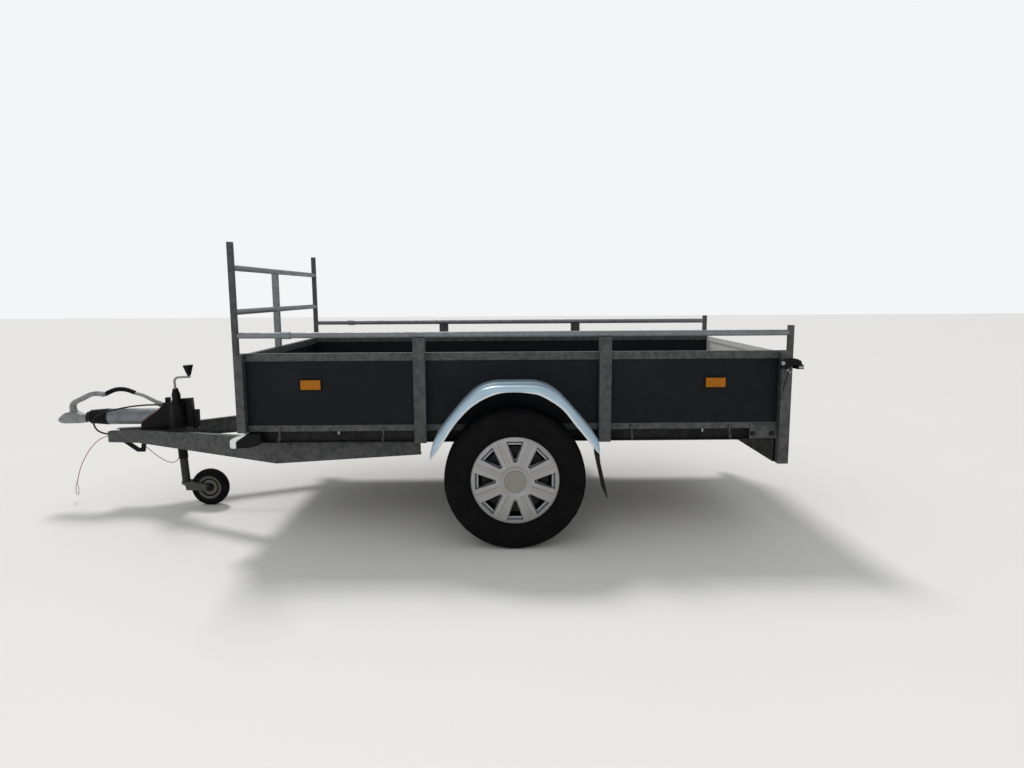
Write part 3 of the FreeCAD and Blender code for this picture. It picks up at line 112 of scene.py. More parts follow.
@dataclass(frozen=True)
class Patch:
    """Cloudy patches of one size.

    Attributes:
        size_mm: across one patch.
        low: noise value where the patch begins.
        high: noise value where it is whole.
        detail: how many finer layers it has.
        stretch: how the patches are squeezed along X, Y and Z.
    """

    size_mm: float
    low: float
    high: float
    detail: float = 3.0
    stretch: tuple[float, float, float] = (1, 1, 1)

    def draw(self, tree: Tree) -> Socket:
        """Add the patches to a material.

        Args:
            tree: the material's node tree.

        Returns:
            A value from 0 outside the patches to 1 in them.
        """
        spot = node(tree, "TexCoord").outputs["Object"]
        spot = node(tree, "Mapping", inputs={"Vector": spot, "Scale": self.stretch}).outputs[0]
        noise = node(tree, "TexNoise", inputs={
            "Vector": spot, "Scale": 1 / (self.size_mm * MM), "Detail": self.detail, "Roughness": 0.6})
        return node(tree, "MapRange", {"interpolation_type": "SMOOTHSTEP"}, {
            "Value": noise.outputs["Fac"], "From Min": self.low, "From Max": self.high}).outputs["Result"]


@dataclass(frozen=True)
class Finish:
    """A finish with a colour, patches of wear and a fine surface.

    Attributes:
        label: what the real finish is called.
        slot: the record's material slot that it mostly stands for.
        wear: a patch, the colour that shows in it and how strongly, from the lowest layer up.
        grain_mm: size of the finest relief.
        relief: its height in millimetres.
        coat: clear film over the surface, 0 to 1.
        spread: how far the roughness goes up and down.
        bump: how strongly the relief shows.
    """

    label: str
    slot: str
    colour: str
    roughness: float
    metallic: float
    wear: tuple[tuple[Patch, str, float], ...]
    grain_mm: float = 2.0
    relief: float = 0.05
    specular: float = 0.5
    coat: float = 0.0
    spread: float = 0.08
    bump: float = 0.5

    @cache
    def material(self) -> bpy.types.Material:
        """Return the finish as a material, made once."""
        made = bpy.data.materials.new(self.label)
        made.use_nodes = True
        tree = made.node_tree
        shader = tree.nodes["Principled BSDF"]
        for name, value in (("Metallic", self.metallic), ("Specular IOR Level", self.specular),
                            ("Coat Weight", self.coat), ("Coat Roughness", 0.15)):
            shader.inputs[name].default_value = value
        for name, part in (("Base Color", self.paint), ("Roughness", self.sheen), ("Normal", self.surface)):
            tree.links.new(part(tree), shader.inputs[name])
        return made

    def paint(self, tree: Tree) -> Socket:
        """Lay each patch of wear over the colour.

        Args:
            tree: the material's node tree.

        Returns:
            The colour.
        """
        colour = linear(self.colour)
        for patch, over, strength in self.wear:
            amount = node(tree, "Math", {"operation": "MULTIPLY"}, {0: patch.draw(tree), 1: strength})
            colour = node(tree, "Mix", {"data_type": "RGBA"}, {
                0: amount.outputs[0], 6: colour, 7: linear(over)}).outputs[2]
        return colour

    def sheen(self, tree: Tree) -> Socket:
        """Return the roughness, a little uneven as handling and weather leave it."""
        return node(tree, "MapRange", inputs={
            "Value": Patch(self.grain_mm * 14, 0.35, 0.65).draw(tree),
            "To Min": self.roughness - self.spread, "To Max": self.roughness + self.spread}).outputs["Result"]

    def surface(self, tree: Tree) -> Socket:
        """Return the relief as a surface direction."""
        return node(tree, "Bump", inputs={"Height": self.height(tree), "Strength": self.bump,
                                          "Distance": self.relief * MM}).outputs["Normal"]

    def height(self, tree: Tree) -> Socket:
        """Return the height of the fine relief."""
        return Patch(self.grain_mm, 0.2, 0.8, 2).draw(tree)


@dataclass(frozen=True)
class Galvanised(Finish):
    """Hot-dip galvanised steel: zinc crystals a centimetre across under a cloudy grey bloom."""

    spangle_mm: float = 13.0
    spangle: float = 0.35

    def paint(self, tree: Tree) -> Socket:
        """Lay the crystals over the clouded grey.

        Args:
            tree: the material's node tree.

        Returns:
            The colour.
        """
        spot = node(tree, "TexCoord").outputs["Object"]
        cells = node(tree, "TexVoronoi", inputs={"Vector": spot, "Scale": 1 / (self.spangle_mm * MM)})
        shade = node(tree, "SeparateColor", inputs={0: cells.outputs["Color"]}).outputs[0]
        grey = node(tree, "MapRange", inputs={"Value": shade, "To Min": 0.55, "To Max": 1.3})
        return node(tree, "Mix", {"data_type": "RGBA", "blend_type": "MULTIPLY"}, {
            0: self.spangle, 6: super().paint(tree), 7: grey.outputs["Result"]}).outputs[2]


@dataclass(frozen=True)
class FilmPly(Finish):
    """Film-faced plywood: smooth dark film that shows the veneer's grain faintly."""

    bump: float = 0.4
    grain_width_mm: float = 5.0
    grain_length_mm: float = 260.0

    def height(self, tree: Tree) -> Socket:
        """Return the veneer's grain pressed through the film."""
        stretch = (self.grain_width_mm / self.grain_length_mm, 1, 1)
        return Patch(self.grain_width_mm, 0.3, 0.7, 3, stretch).draw(tree)


@dataclass(frozen=True)
class Lens(Finish):
    """Moulded lens: clear coloured acrylic over small pressed prisms."""

    bump: float = 0.8
    prism_mm: float = 4.0

    def height(self, tree: Tree) -> Socket:
        """Cross two rows of prisms, along the lamp and up it.

        Args:
            tree: the material's node tree.

        Returns:
            The prisms' height.
        """
        spot = node(tree, "TexCoord").outputs["Object"]
        along, up = (node(tree, "TexWave", {"bands_direction": way, "wave_profile": "TRI"}, {
            "Vector": spot, "Scale": math.pi / (10 * self.prism_mm * MM)}) for way in ("X", "Z"))
        return node(tree, "Math", {"operation": "MULTIPLY"}, {
            0: along.outputs["Fac"], 1: up.outputs["Fac"]}).outputs[0]


class Finishes(Enum):
    """The finishes of this trailer, named for what the real ones are."""

    # Weathered hot-dip galvanising: dull grey with darker clouds and specks of pale zinc bloom
    GALVANISED = Galvanised("hot_dip_galvanised_steel", "galvanised_steel", "#565756", 0.52, 0.35, (
        (Patch(34, 0.42, 0.62, 5), "#3e4142", 0.7), (Patch(13, 0.56, 0.72, 4), "#767976", 0.4),
        (Patch(5, 0.6, 0.75, 2), "#2f3131", 0.35)), 1.6, 0.05, 0.3, spangle_mm=9, spangle=0.3)
    # Paler galvanised with fewer clouds: painted sunlight on the slide tube, the rails and the rack bars,
    # whose tops the sun catches; the gate's outer face uses it too
    PALE_GALVANISED = Galvanised("pale_galvanised_steel", "galvanised_steel", "#80858a", 0.45, 0.4, (
        (Patch(40, 0.42, 0.66, 4), "#6a6e72", 0.6), (Patch(9, 0.58, 0.75), "#989b9b", 0.35)),
        1.6, 0.04, spangle_mm=9, spangle=0.25)
    # The same below the floor and behind the rear lamps: dirt and brown dust, and painted shade that makes it
    # nearly black where the box's shadow falls
    DIRTY_SHADED_GALVANISED = Galvanised("dirty_galvanised_painted_shade", "galvanised_steel", "#2e2f2e", 0.66, 0.2, (
        (Patch(50, 0.42, 0.62, 5), "#1e1f1e", 0.8), (Patch(18, 0.58, 0.75, 4), "#4b463d", 0.5)),
        2, 0.08, 0.25, spangle=0.2)
    # Pressed zinc sheet, pale and smooth; its bluish tint is a painted reflection of the sky
    BRIGHT_ZINC = Finish("bright_zinc_sheet", "bright_zinc", "#b4cbdb", 0.36, 0.4, (
        (Patch(120, 0.4, 0.7), "#9fb6c6", 0.5), (Patch(30, 0.58, 0.8), "#c9d8e2", 0.35)),
        9, 0.02, spread=0.05)
    # The rolled lip and the band of sheet above it: a painted highlight, near white
    ZINC_EDGE_HIGHLIGHT = Finish("zinc_edge_painted_highlight", "bright_zinc", "#dfe3e6", 0.3, 0.3, (
        (Patch(20, 0.55, 0.75), "#b9c0c6", 0.4),), 3, 0.02)
    # Pale zinc sheet on the gate's inside, dulled by loads that slid over it; its near white is painted
    # sunlight, which also falls on the gate frame's faces that look forward and up
    SUNLIT_GATE_SHEET = Galvanised("worn_zinc_sheet_painted_sunlight", "gate_sheet", "#efeeea", 0.55, 0, (
        (Patch(90, 0.5, 0.68, 5, (1, 0.4, 1)), "#dedcd6", 0.5), (Patch(10, 0.62, 0.8), "#bfbcb3", 0.3)),
        2, 0.05, spangle=0.15)
    # Phenolic film on birch plywood: charcoal, with dust in scuffs
    FILM_PLY = FilmPly("film_faced_plywood", "film_faced_ply", "#16181c", 0.5, 0, (
        (Patch(220, 0.45, 0.75, 4), "#1d2024", 0.6), (Patch(6, 0.66, 0.8, 3, (0.15, 1, 1)), "#333433", 0.25)),
        3, 0.09, 0.13)
    # The floor's film, brown and scuffed
    FLOOR_PLY = FilmPly("floor_plywood", "film_faced_ply", "#332c27", 0.62, 0, (
        (Patch(160, 0.42, 0.66, 5), "#463f37", 0.6), (Patch(9, 0.6, 0.78, 3, (0.2, 1, 1)), "#6a6256", 0.4)),
        4, 0.15, 0.25)
    # Moulded tyre rubber: near black, dusty
    TYRE = Finish("moulded_tyre_rubber", "tyre_rubber", "#111113", 0.85, 0, (
        (Patch(55, 0.45, 0.7, 4), "#1a1918", 0.6), (Patch(5, 0.6, 0.8), "#292622", 0.25)), 1.2, 0.08, 0.08)
    # Rubber of the flaps, bellows and cable: greyed by weather, with a soft sheen
    RUBBER = Finish("weathered_black_rubber", "black_rubber", "#131314", 0.6, 0, (
        (Patch(30, 0.5, 0.7), "#201f1e", 0.6),), 1, 0.05, 0.3)
    # Black paint on steel: chipped to rust at edges and joints
    BLACK_PAINT = Finish("black_painted_steel", "black_steel", "#0c0d0e", 0.45, 0, (
        (Patch(24, 0.52, 0.72, 4), "#181817", 0.7), (Patch(6, 0.68, 0.76, 4), "#40291e", 0.5)),
        1.5, 0.08, 0.15)
    # The jockey wheel's sliding tube: paint rubbed grey, with brown streaks
    GREY_PAINT = Finish("grey_painted_steel", "black_steel", "#31312f", 0.5, 0.2, (
        (Patch(22, 0.5, 0.7, 4), "#232321", 0.7), (Patch(6, 0.64, 0.74), "#4a3326", 0.5)), 1.5, 0.06, 0.3)
    # Bare plated steel, grey where hands and weather dulled it
    PALE_STEEL = Finish("dulled_plated_steel", "galvanised_steel", "#9a9c9a", 0.4, 0.5, (
        (Patch(16, 0.5, 0.7, 4), "#757673", 0.6),), 1.5, 0.04)
    # The same near the ground, under road dust
    FORK_STEEL = Finish("dusty_plated_steel", "black_steel", "#4f504c", 0.5, 0.3, (
        (Patch(16, 0.5, 0.7, 4), "#3b3b38", 0.6),), 1.5, 0.04, 0.3)
    # The road wheel's steel behind its cover: nearly black, brake dust on it
    WHEEL_STEEL = Finish("dusty_wheel_steel", "wheel_steel", "#1f2021", 0.55, 0.2, (
        (Patch(20, 0.5, 0.7), "#3b3731", 0.7),), 1.5, 0.05, 0.3)
    # The small rim's pressed rings: grey paint, dirty in its hollows
    JOCKEY_RIM = Finish("pressed_rim_paint", "wheel_steel", "#68665c", 0.5, 0.1, (
        (Patch(14, 0.5, 0.7), "#45423b", 0.7),), 1.5, 0.05, 0.3)
    # Silver lacquer on moulded plastic, dust in the corners
    LACQUER = Finish("silver_lacquer", "silver_plastic", "#a2a1a1", 0.36, 0.35, (
        (Patch(60, 0.45, 0.7, 4), "#9b9790", 0.5), (Patch(12, 0.66, 0.85), "#87827a", 0.2)),
        1.2, 0.01, coat=0.3)
    # The same lacquer on the window frames' sloping walls: painted shade in the recess, with a painted
    # grey-blue reflection of the sky
    SHADED_LACQUER = Finish("lacquer_painted_shade", "silver_plastic", "#5b6470", 0.5, 0.2, (
        (Patch(12, 0.45, 0.7, 4), "#3f4349", 0.6),), 1.2, 0.01)
    # Tan lacquer: on the hub, under tan dust; on the slopes of the pressed lanes, painted shade along the
    # creases
    TAN_LACQUER = Finish("dusty_lacquer_and_crease_shade", "silver_plastic", "#8f8b84", 0.42, 0.25, (
        (Patch(20, 0.45, 0.7, 4), "#837e75", 0.6),), 1.2, 0.01)
    # Grey iron casting under zinc: grainy skin
    CAST = Finish("zinc_plated_casting", "cast_head", "#8d9090", 0.48, 0.45, (
        (Patch(26, 0.45, 0.66, 4), "#6a6d6c", 0.7), (Patch(6, 0.62, 0.78), "#aeb1b0", 0.4)), 1.8, 0.18)
    # Moulded plastic: black, even, with a dull shine
    PLASTIC = Finish("moulded_black_plastic", "black_plastic", "#0c0d0f", 0.45, 0, (
        (Patch(18, 0.5, 0.75), "#161719", 0.5),), 0.8, 0.04, 0.15)
    # Newer bolts: bright plating that is just turning dull
    BOLT = Finish("bright_plated_steel", "zinc_clip", "#a9abab", 0.36, 0.8, (
        (Patch(5, 0.55, 0.75), "#7d7b76", 0.5),), 1, 0.03)
    # Older ones: blackened, with spots of rust
    DARK_BOLT = Finish("blackened_bolt", "dark_steel", "#232220", 0.5, 0.4, (
        (Patch(5, 0.55, 0.75), "#4d382b", 0.5),), 1, 0.04, 0.3)
    # Sleeve of the breakaway wire: red that fades to brown
    RED_SLEEVE = Finish("red_wire_sleeve", "red_wire", "#a63a28", 0.5, 0, (
        (Patch(20, 0.5, 0.7), "#84513e", 0.5),), 1, 0.02, 0.3)
    # The tied end of it, dark with dirt
    DULL_SLEEVE = Finish("dirty_red_sleeve", "red_wire", "#6d3b30", 0.6, 0, (
        (Patch(9, 0.45, 0.7), "#3c302b", 0.7),), 1, 0.02, 0.3)
    # Coloured acrylic: deep and even, with small sparks from its prisms
    AMBER = Lens("amber_acrylic", "amber_lens", "#ab6706", 0.3, 0, (
        (Patch(25, 0.5, 0.7), "#965a06", 0.5),), 1, 0.5, 0.2)
    RED = Lens("red_acrylic", "red_lens", "#96120c", 0.25, 0, (
        (Patch(25, 0.5, 0.7), "#740e09", 0.5),), 1, 0.5, 0.25)
    CLEAR = Lens("clear_acrylic", "white_lens", "#eef0f0", 0.15, 0, (
        (Patch(25, 0.5, 0.7), "#d6d9da", 0.5),), 1, 0.5)
    # Plain pale ground that keeps shadows
    GROUND = Finish("pale_ground", "", "#eceae6", 0.9, 0, ((Patch(900, 0.2, 0.8), "#e2e1de", 0.15),))


def link(name: str, data: bpy.types.ID) -> bpy.types.Object:
    """Add an object to the scene.

    Args:
        name: of the object.
        data: its mesh, curve, light or camera.

    Returns:
        The object.
    """
    made = bpy.data.objects.new(name, data)
    bpy.context.scene.collection.objects.link(made)
    return made


def tube(name: str, points: Points, radius: float, steps: int) -> bpy.types.Curve:
    """Make a round bar or cord along a NURBS line that starts and ends at its end points.

    Args:
        name: of the curve.
        points: its control points.
        radius: of its section.
        steps: along each part of the line.

    Returns:
        The curve.
    """
    made = bpy.data.curves.new(name, "CURVE")
    made.dimensions = "3D"
    made.bevel_depth = radius
    made.bevel_resolution = 4
    made.resolution_u = steps
    made.use_fill_caps = True
    spline = made.splines.new("NURBS")
    spline.points.add(len(points) - 1)
    for target, point in zip(spline.points, points):
        target.co = (*point, 1)
    spline.order_u = 3
    spline.use_endpoint_u = True
    return made


class Solid:
    """A mesh being made, in millimetres about the axle, that becomes one named piece."""

    def __init__(self) -> None:
        """Start with nothing."""
        self.bm = bmesh.new()

    def soften(self, verts: Iterable[Vert], width: float, segments: int, angle: float = 0.5) -> None:
        """Round the edges between faces that meet at more than an angle.

        Args:
            verts: the vertices whose edges are looked at.
            width: of the rounding.
            segments: faces across it.
            angle: in radians.
        """
        chosen = set(verts)
        edges = [e for e in self.bm.edges if e.verts[0] in chosen and e.verts[1] in chosen
                 and len(e.link_faces) == 2 and e.calc_face_angle(0) > angle]
        if edges:
            bmesh.ops.bevel(self.bm, geom=edges, offset=width, affect="EDGES", segments=segments,
                            profile=0.5, material=-1, clamp_overlap=True)

    def block(self, low: Point, high: Point, bevel: float, segments: int = 2) -> "Solid":
        """Add a block with rounded edges.

        Args:
            low: one corner.
            high: the corner across from it.
            bevel: width of the rounding.
            segments: faces across it.

        Returns:
            This solid.
        """
        first, last = Vector(low), Vector(high)
        size = Vector(abs(b - a) for a, b in zip(first, last))
        made = bmesh.ops.create_cube(self.bm, size=1)["verts"]
        bmesh.ops.scale(self.bm, vec=size, verts=made)
        bmesh.ops.translate(self.bm, vec=(first + last) / 2, verts=made)
        self.soften(made, bevel, segments)
        return self

    def rod(self, start: Point, end: Point, radius: float, end_radius: float | None = None,
            segments: int = 28, bevel: float = 0.8) -> None:
        """Add a round bar or a cone.

        Args:
            start: the middle of one end.
            end: the middle of the other end.
            radius: at the start.
            end_radius: at the end, the same if left out.
            segments: round it.
            bevel: width of the rounding at its ends.
        """
        along = Vector(end) - Vector(start)
        turn = along.to_track_quat("Z", "Y").to_matrix().to_4x4()
        made = bmesh.ops.create_cone(
            self.bm, cap_ends=True, cap_tris=False, segments=segments, radius1=radius,
            radius2=radius if end_radius is None else end_radius, depth=along.length,
            matrix=Matrix.Translation((Vector(start) + Vector(end)) / 2) @ turn)["verts"]
        self.soften(made, bevel, 2, 0.9)

    def bolt(self, foot: Point, way: Point, across: float, height: float = 8.0) -> None:
        """Add a hexagon head on a washer, with a thread end.

        Args:
            foot: where it sits.
            way: the direction that it stands in.
            across: the width of the head.
            height: of the head.
        """
        foot, way = Vector(foot), Vector(way).normalized()
        washer, head, thread = foot + way * 1.6, foot + way * (1.6 + height), foot + way * (4 + height)
        self.rod(foot, washer, across * 0.72, segments=20, bevel=0.3)
        self.rod(washer, head, across * 0.577, segments=6, bevel=0.6)
        self.rod(head, thread, across * 0.27, segments=12, bevel=0.4)

    def lathe(self, profile: Pairs, centre: Point, axis: Point, steps: int,
              whole: bool = False) -> list[Vert]:
        """Turn a profile about an axis.

        Args:
            profile: pairs of radius and distance along the axis.
            centre: where that distance is zero.
            axis: the direction of the axis.
            steps: round the turn.
            whole: join the profile's ends.

        Returns:
            The new vertices.
        """
        before = set(self.bm.verts)
        centre, axis = Vector(centre), Vector(axis).normalized()
        side = Vector((0, 0, 1)) if abs(axis.z) < 0.5 else Vector((1, 0, 0))
        verts = [self.bm.verts.new(centre + axis * along + side * radius) for radius, along in profile]
        pairs = list(zip(verts, verts[1:])) + ([(verts[-1], verts[0])] if whole else [])
        edges = [self.bm.edges.new(pair) for pair in pairs]
        bmesh.ops.spin(self.bm, geom=verts + edges, cent=centre, axis=axis, angle=math.tau, steps=steps,
                       use_merge=True)
        return [v for v in self.bm.verts if v not in before]

    def sweep(self, points: Points, radius: float, flat: float = 1.0) -> "Solid":
        """Add a smooth round bar that is fixed at both ends.

        Args:
            points: the control points of its line.
            radius: of the bar.
            flat: how much its section is squeezed along Y.

        Returns:
            This solid.
        """
        line = tube("line", points, radius, 10)
        holder = bpy.data.objects.new("line", line)
        mesh = bpy.data.meshes.new_from_object(holder)
        before = set(self.bm.verts)
        self.bm.from_mesh(mesh)
        made = [v for v in self.bm.verts if v not in before]
        if flat != 1:
            middle = sum(p[1] for p in points) / len(points)
            bmesh.ops.scale(self.bm, vec=(1, flat, 1), space=Matrix.Translation((0, -middle, 0)), verts=made)
        bpy.data.objects.remove(holder)
        bpy.data.curves.remove(line)
        bpy.data.meshes.remove(mesh)
        return self

    def cad(self, name: str, width: float, segments: int = 2) -> "Solid":
        """Add a copy of a CAD node with its triangles joined into whole faces and its edges rounded.

        Args:
            name: the node.
            width: of the rounding.
            segments: faces across it.

        Returns:
            This solid.
        """
        before = set(self.bm.verts)
        self.bm.from_mesh(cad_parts[name].data)
        made = [v for v in self.bm.verts if v not in before]
        bmesh.ops.scale(self.bm, vec=(1 / MM,) * 3, verts=made)
        bmesh.ops.translate(self.bm, vec=(ORIGIN_X, 0, 0), verts=made)
        bmesh.ops.remove_doubles(self.bm, verts=made, dist=0.01)
        made = [v for v in self.bm.verts if v not in before]
        chosen = set(made)
        edges = [e for e in self.bm.edges if e.verts[0] in chosen]
        bmesh.ops.dissolve_limit(self.bm, angle_limit=FLAT, verts=made, edges=edges)
        self.soften((v for v in self.bm.verts if v not in before), width, segments)
        return self

    def bolts(self, bolts: Bolts) -> "Solid":
        """Add several bolts.

        Args:
            bolts: what bolt() is given for each.

        Returns:
            This solid.
        """
        for bolt in bolts:
            self.bolt(*bolt)
        return self

    def both(self) -> "Solid":
        """Add the twin on the trailer's other side."""
        geom = self.bm.verts[:] + self.bm.edges[:] + self.bm.faces[:]
        made = bmesh.ops.duplicate(self.bm, geom=geom)["geom"]
        bmesh.ops.scale(self.bm, vec=(1, -1, 1), verts=[g for g in made if isinstance(g, Vert)])
        return self

    def mark(self, rule: Callable[[Face], bool]) -> "Solid":
        """Give some faces the piece's second finish.

        Args:
            rule: says whether a face is one of them.

        Returns:
            This solid.
        """
        for face in self.bm.faces:
            face.material_index = int(rule(face))
        return self

    def piece(self, name: str, finish: Finishes, body: str = "chassis", replaces: Sequence[str] = (),
              slot: str = "", sharp: float = 38.0, weighted: bool = True,
              others: Sequence[Finishes] = ()) -> bpy.types.Object:
        """Turn the solid into a named piece that rides on a body.

        Args:
            name: the piece's name.
            finish: what it is made of.
            body: the body that carries it.
            replaces: the CAD nodes that it stands for.
            slot: the record's material slot, where it isn't the finish's own; not used.
            sharp: degrees above which an edge stays sharp.
            weighted: let large faces keep their direction at rounded edges.
            others: the finishes of faces that were marked with 1, 2 and so on.

        Returns:
            The piece.
        """
        bmesh.ops.remove_doubles(self.bm, verts=self.bm.verts, dist=0.005)
        bmesh.ops.recalc_face_normals(self.bm, faces=self.bm.faces)
        bmesh.ops.translate(self.bm, vec=(-ORIGIN_X, 0, 0), verts=self.bm.verts)
        bmesh.ops.scale(self.bm, vec=(MM,) * 3, verts=self.bm.verts)
        mesh = bpy.data.meshes.new(name)
        self.bm.to_mesh(mesh)
        self.bm.free()
        mesh.shade_smooth()
        mesh.set_sharp_from_angle(angle=math.radians(sharp))
        made = link(name, mesh)
        for coat in (finish, *others):
            mesh.materials.append(coat.value.material())
        if weighted:
            made.modifiers.new("weighted", "WEIGHTED_NORMAL").keep_sharp = True
        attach(made, body)
        if replaces:
            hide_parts(*replaces)
        log.info("%s: %d faces, %s", name, len(mesh.polygons), finish.name.lower())
        return made


@dataclass(frozen=True)
class Dressed:
    """A piece made of one CAD node, which it replaces, with rounding of a width on its edges."""

    node: str
    name: str
    finish: Finishes
    width: float
    segments: int = 2
    body: str = "chassis"
    slot: str = ""

    def build(self) -> None:
        """Make the piece."""
        solid = Solid().cad(self.node, self.width, self.segments)
        solid.piece(self.name, self.finish, self.body, (self.node,), self.slot)


def spread(count: int, radius: float, start: float = 0.0) -> list[Pair]:
    """Return places spread evenly round a circle from its top, as pairs along X and Z."""
    turns = ((index + start) * math.tau / count for index in range(count))
    return [(radius * math.sin(turn), radius * math.cos(turn)) for turn in turns]


def closed(half: Pairs) -> list[Pair]:
    """Return a closed profile from the half of it with positive distances."""
    return [(radius, -along) for radius, along in half] + list(reversed(half))


def smooth(points: Points, steps: int = 8) -> list[Vector]:
    """Find a smooth line through points.

    Args:
        points: the points in order.
        steps: points on the line for each one given.

    Returns:
        The points of the line.
    """
    given = [Vector(p) for p in points]
    ends = [given[0] * 2 - given[1], *given, given[-1] * 2 - given[-2]]
    found = []
    for a, b, c, d in zip(ends, ends[1:], ends[2:], ends[3:]):
        for t in (step / steps for step in range(steps)):
            found.append((b * 2 + (c - a) * t + (a * 2 - b * 5 + c * 4 - d) * t ** 2
                          + (b * 3 - a - c * 3 + d) * t ** 3) / 2)
    return found + [given[-1]]


@dataclass
class Scene:
    """Camera at the photograph's angle, soft light and a pale ground."""

    lens: float = 683.6 / 1024 * 36
    eye: tuple[float, float, float] = (47.02, 3802.81, 1146.4)
    tilt: float = math.atan2(0.99118959, 0.13234922)
    roll: float = math.asin(0.00518469)
    heading: float = math.pi - 0.012686
    ground: float = 60.0
    sky: float = 0.58
    sun: float = 1.6
    sun_way: tuple[float, float, float] = (0.35, -0.95, 1.35)
    fill: float = 35.0
    fill_spot: tuple[float, float, float] = (0.8, 5.2, 3.4)

    def build(self) -> None:
        """Add the camera, the lights and the ground."""
        data = bpy.data.cameras.new("camera")
        data.sensor_width = 36
        data.lens = self.lens
        camera = link("camera", data)
        camera.location = place(*self.eye)
        camera.rotation_euler = (self.tilt, self.roll, self.heading)
        bpy.context.scene.camera = camera
        self.light()
        bm = bmesh.new()
        bmesh.ops.create_grid(bm, x_segments=4, y_segments=4, size=self.ground / 2)
        mesh = bpy.data.meshes.new("ground")
        bm.to_mesh(mesh)
        bm.free()
        mesh.materials.append(Finishes.GROUND.value.material())
        link("ground", mesh)
        bpy.context.scene.view_settings.view_transform = "Standard"

    def light(self) -> None:
        """Add the sky, a soft sun from behind and a broad fill from the camera's side."""
        world = bpy.data.worlds.new("sky")
        bpy.context.scene.world = world
        world.use_nodes = True
        tree = world.node_tree
        tree.nodes.clear()
        path = node(tree, "LightPath")
        seen = node(tree, "Math", {"operation": "MAXIMUM"}, {
            0: path.outputs["Is Camera Ray"], 1: path.outputs["Is Transmission Ray"]})
        strength = node(tree, "MapRange", inputs={"Value": seen.outputs[0], "To Min": self.sky, "To Max": 1})
        back = node(tree, "Background", inputs={
            "Color": linear("#f3f5f7"), "Strength": strength.outputs["Result"]})
        node(tree, "OutputWorld", inputs={"Surface": back.outputs[0]})
        sun = bpy.data.lights.new("sun", "SUN")
        sun.energy = self.sun
        sun.angle = math.radians(12)
        link("sun", sun).rotation_euler = Vector(self.sun_way).to_track_quat("Z", "Y").to_euler()
        fill = bpy.data.lights.new("fill", "AREA")
        fill.energy = self.fill
        fill.size = 5
        holder = link("fill", fill)
        holder.location = self.fill_spot
        holder.rotation_euler = (holder.location - Vector((0, 0, 0.5))).to_track_quat("Z", "Y").to_euler()


@dataclass
class Cords:
    """Lamp cable and breakaway wire, as free lines with their control points in millimetres."""

    cable_d: float = 9.0
    wire_d: float = 4.0
    cable: Points = (
        (2226, 50.7, 377), (2265, 50.9, 382), (2302, 56, 402), (2317, 61, 441), (2302, 64, 480),
        (2265, 65, 500), (2216, 65, 513), (2160, 66, 526), (2100, 66, 537), (2040, 67, 543),
        (1980, 67.5, 546.5), (1922, 68, 545))
    front: Points = (
        (2196, 8.3, 346), (2238, 9, 362), (2286, 12, 360), (2330, 17, 334), (2366, 23, 294),
        (2396, 29, 247), (2420, 35, 196), (2436, 40, 143), (2446, 45, 92))
    slack: Points = (
        (2150, -50, 333), (2132, -75, 300), (2100, -95, 258), (2062, -100, 220), (2018, -100, 190),
        (1975, -100, 176), (1945, -100, 190), (1925, -100, 236), (1914, -100, 292), (1912, -100, 350),
        (1912, -99, 411))
    # Parts of the plug: where each starts and ends behind the cable's end, and its radii
    plug_parts: Points = (
        (0, 9, 8, 12), (9, 15, 14.5, 14.5), (15, 40, 16.8, 16.8), (40, 52, 15.5, 15.5))

    def line(self, name: str, points: Points, diameter: float, finish: Finishes, replaced: str,
             length: float, far_end: str, on_it: Sequence[bpy.types.Object] = ()) -> None:
        """Args:
            name: the piece's name.
            points: its control points.
            diameter: of the cord.
            finish: of its sleeve.
            replaced: the CAD node that it stands for.
            length: in metres; not used.
            far_end: what is on its far end; not used.
            on_it: the pieces on it; not used.
        """
        made = link(name, tube(name, [place(*p) for p in points], diameter / 2 * MM, 12))
        made.data.materials.append(finish.value.material())
        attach(made, "chassis")
        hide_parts(replaced)
        log.info("%s: %d points", name, len(points))

    def build(self) -> None:
        """Make the cable with its plug, and both strands of the wire with the clip."""
        x, y, z = self.cable[-1]
        solid = Solid()
        for start, end, radius, last in self.plug_parts:
            solid.rod((x - start, y, z), (x - end, y, z), radius, last, 32, 1)
        for dy, dz in spread(8, 16.2):
            solid.block((x - 38, y + dy - 1.2, z + dz - 1.2), (x - 17, y + dy + 0.6, z + dz + 0.6), 0.4)
        plug = solid.piece("lamp_plug", Finishes.PLASTIC, replaces=("plug",))
        self.line("lamp_cable_line", self.cable, self.cable_d, Finishes.RUBBER, "lamp_cable", 0.55, "plug",
                  [plug])
        x, y, z = self.front[-1]
        loop = ((0, 0), (7, -8), (8, -30), (7, -52), (0, -60), (-7, -52), (-8, -30), (-7, -8), (0, 0))
        solid = Solid().sweep([(x + dx, y, z + dz) for dx, dz in loop], 2)
        solid.rod((x, y, z - 4), (x, y, z + 12), 3.4, 3, 16, 0.5)
        clip = solid.piece("breakaway_hook", Finishes.BOLT, replaces=("breakaway_clip",))
        wire = (self.wire_d, Finishes.RED_SLEEVE, "breakaway_cable")
        self.line("breakaway_wire_front", self.front, *wire, 0.417, "fitting", [clip])
        self.line("breakaway_wire_slack", self.slack, *wire, 0.509, "object")


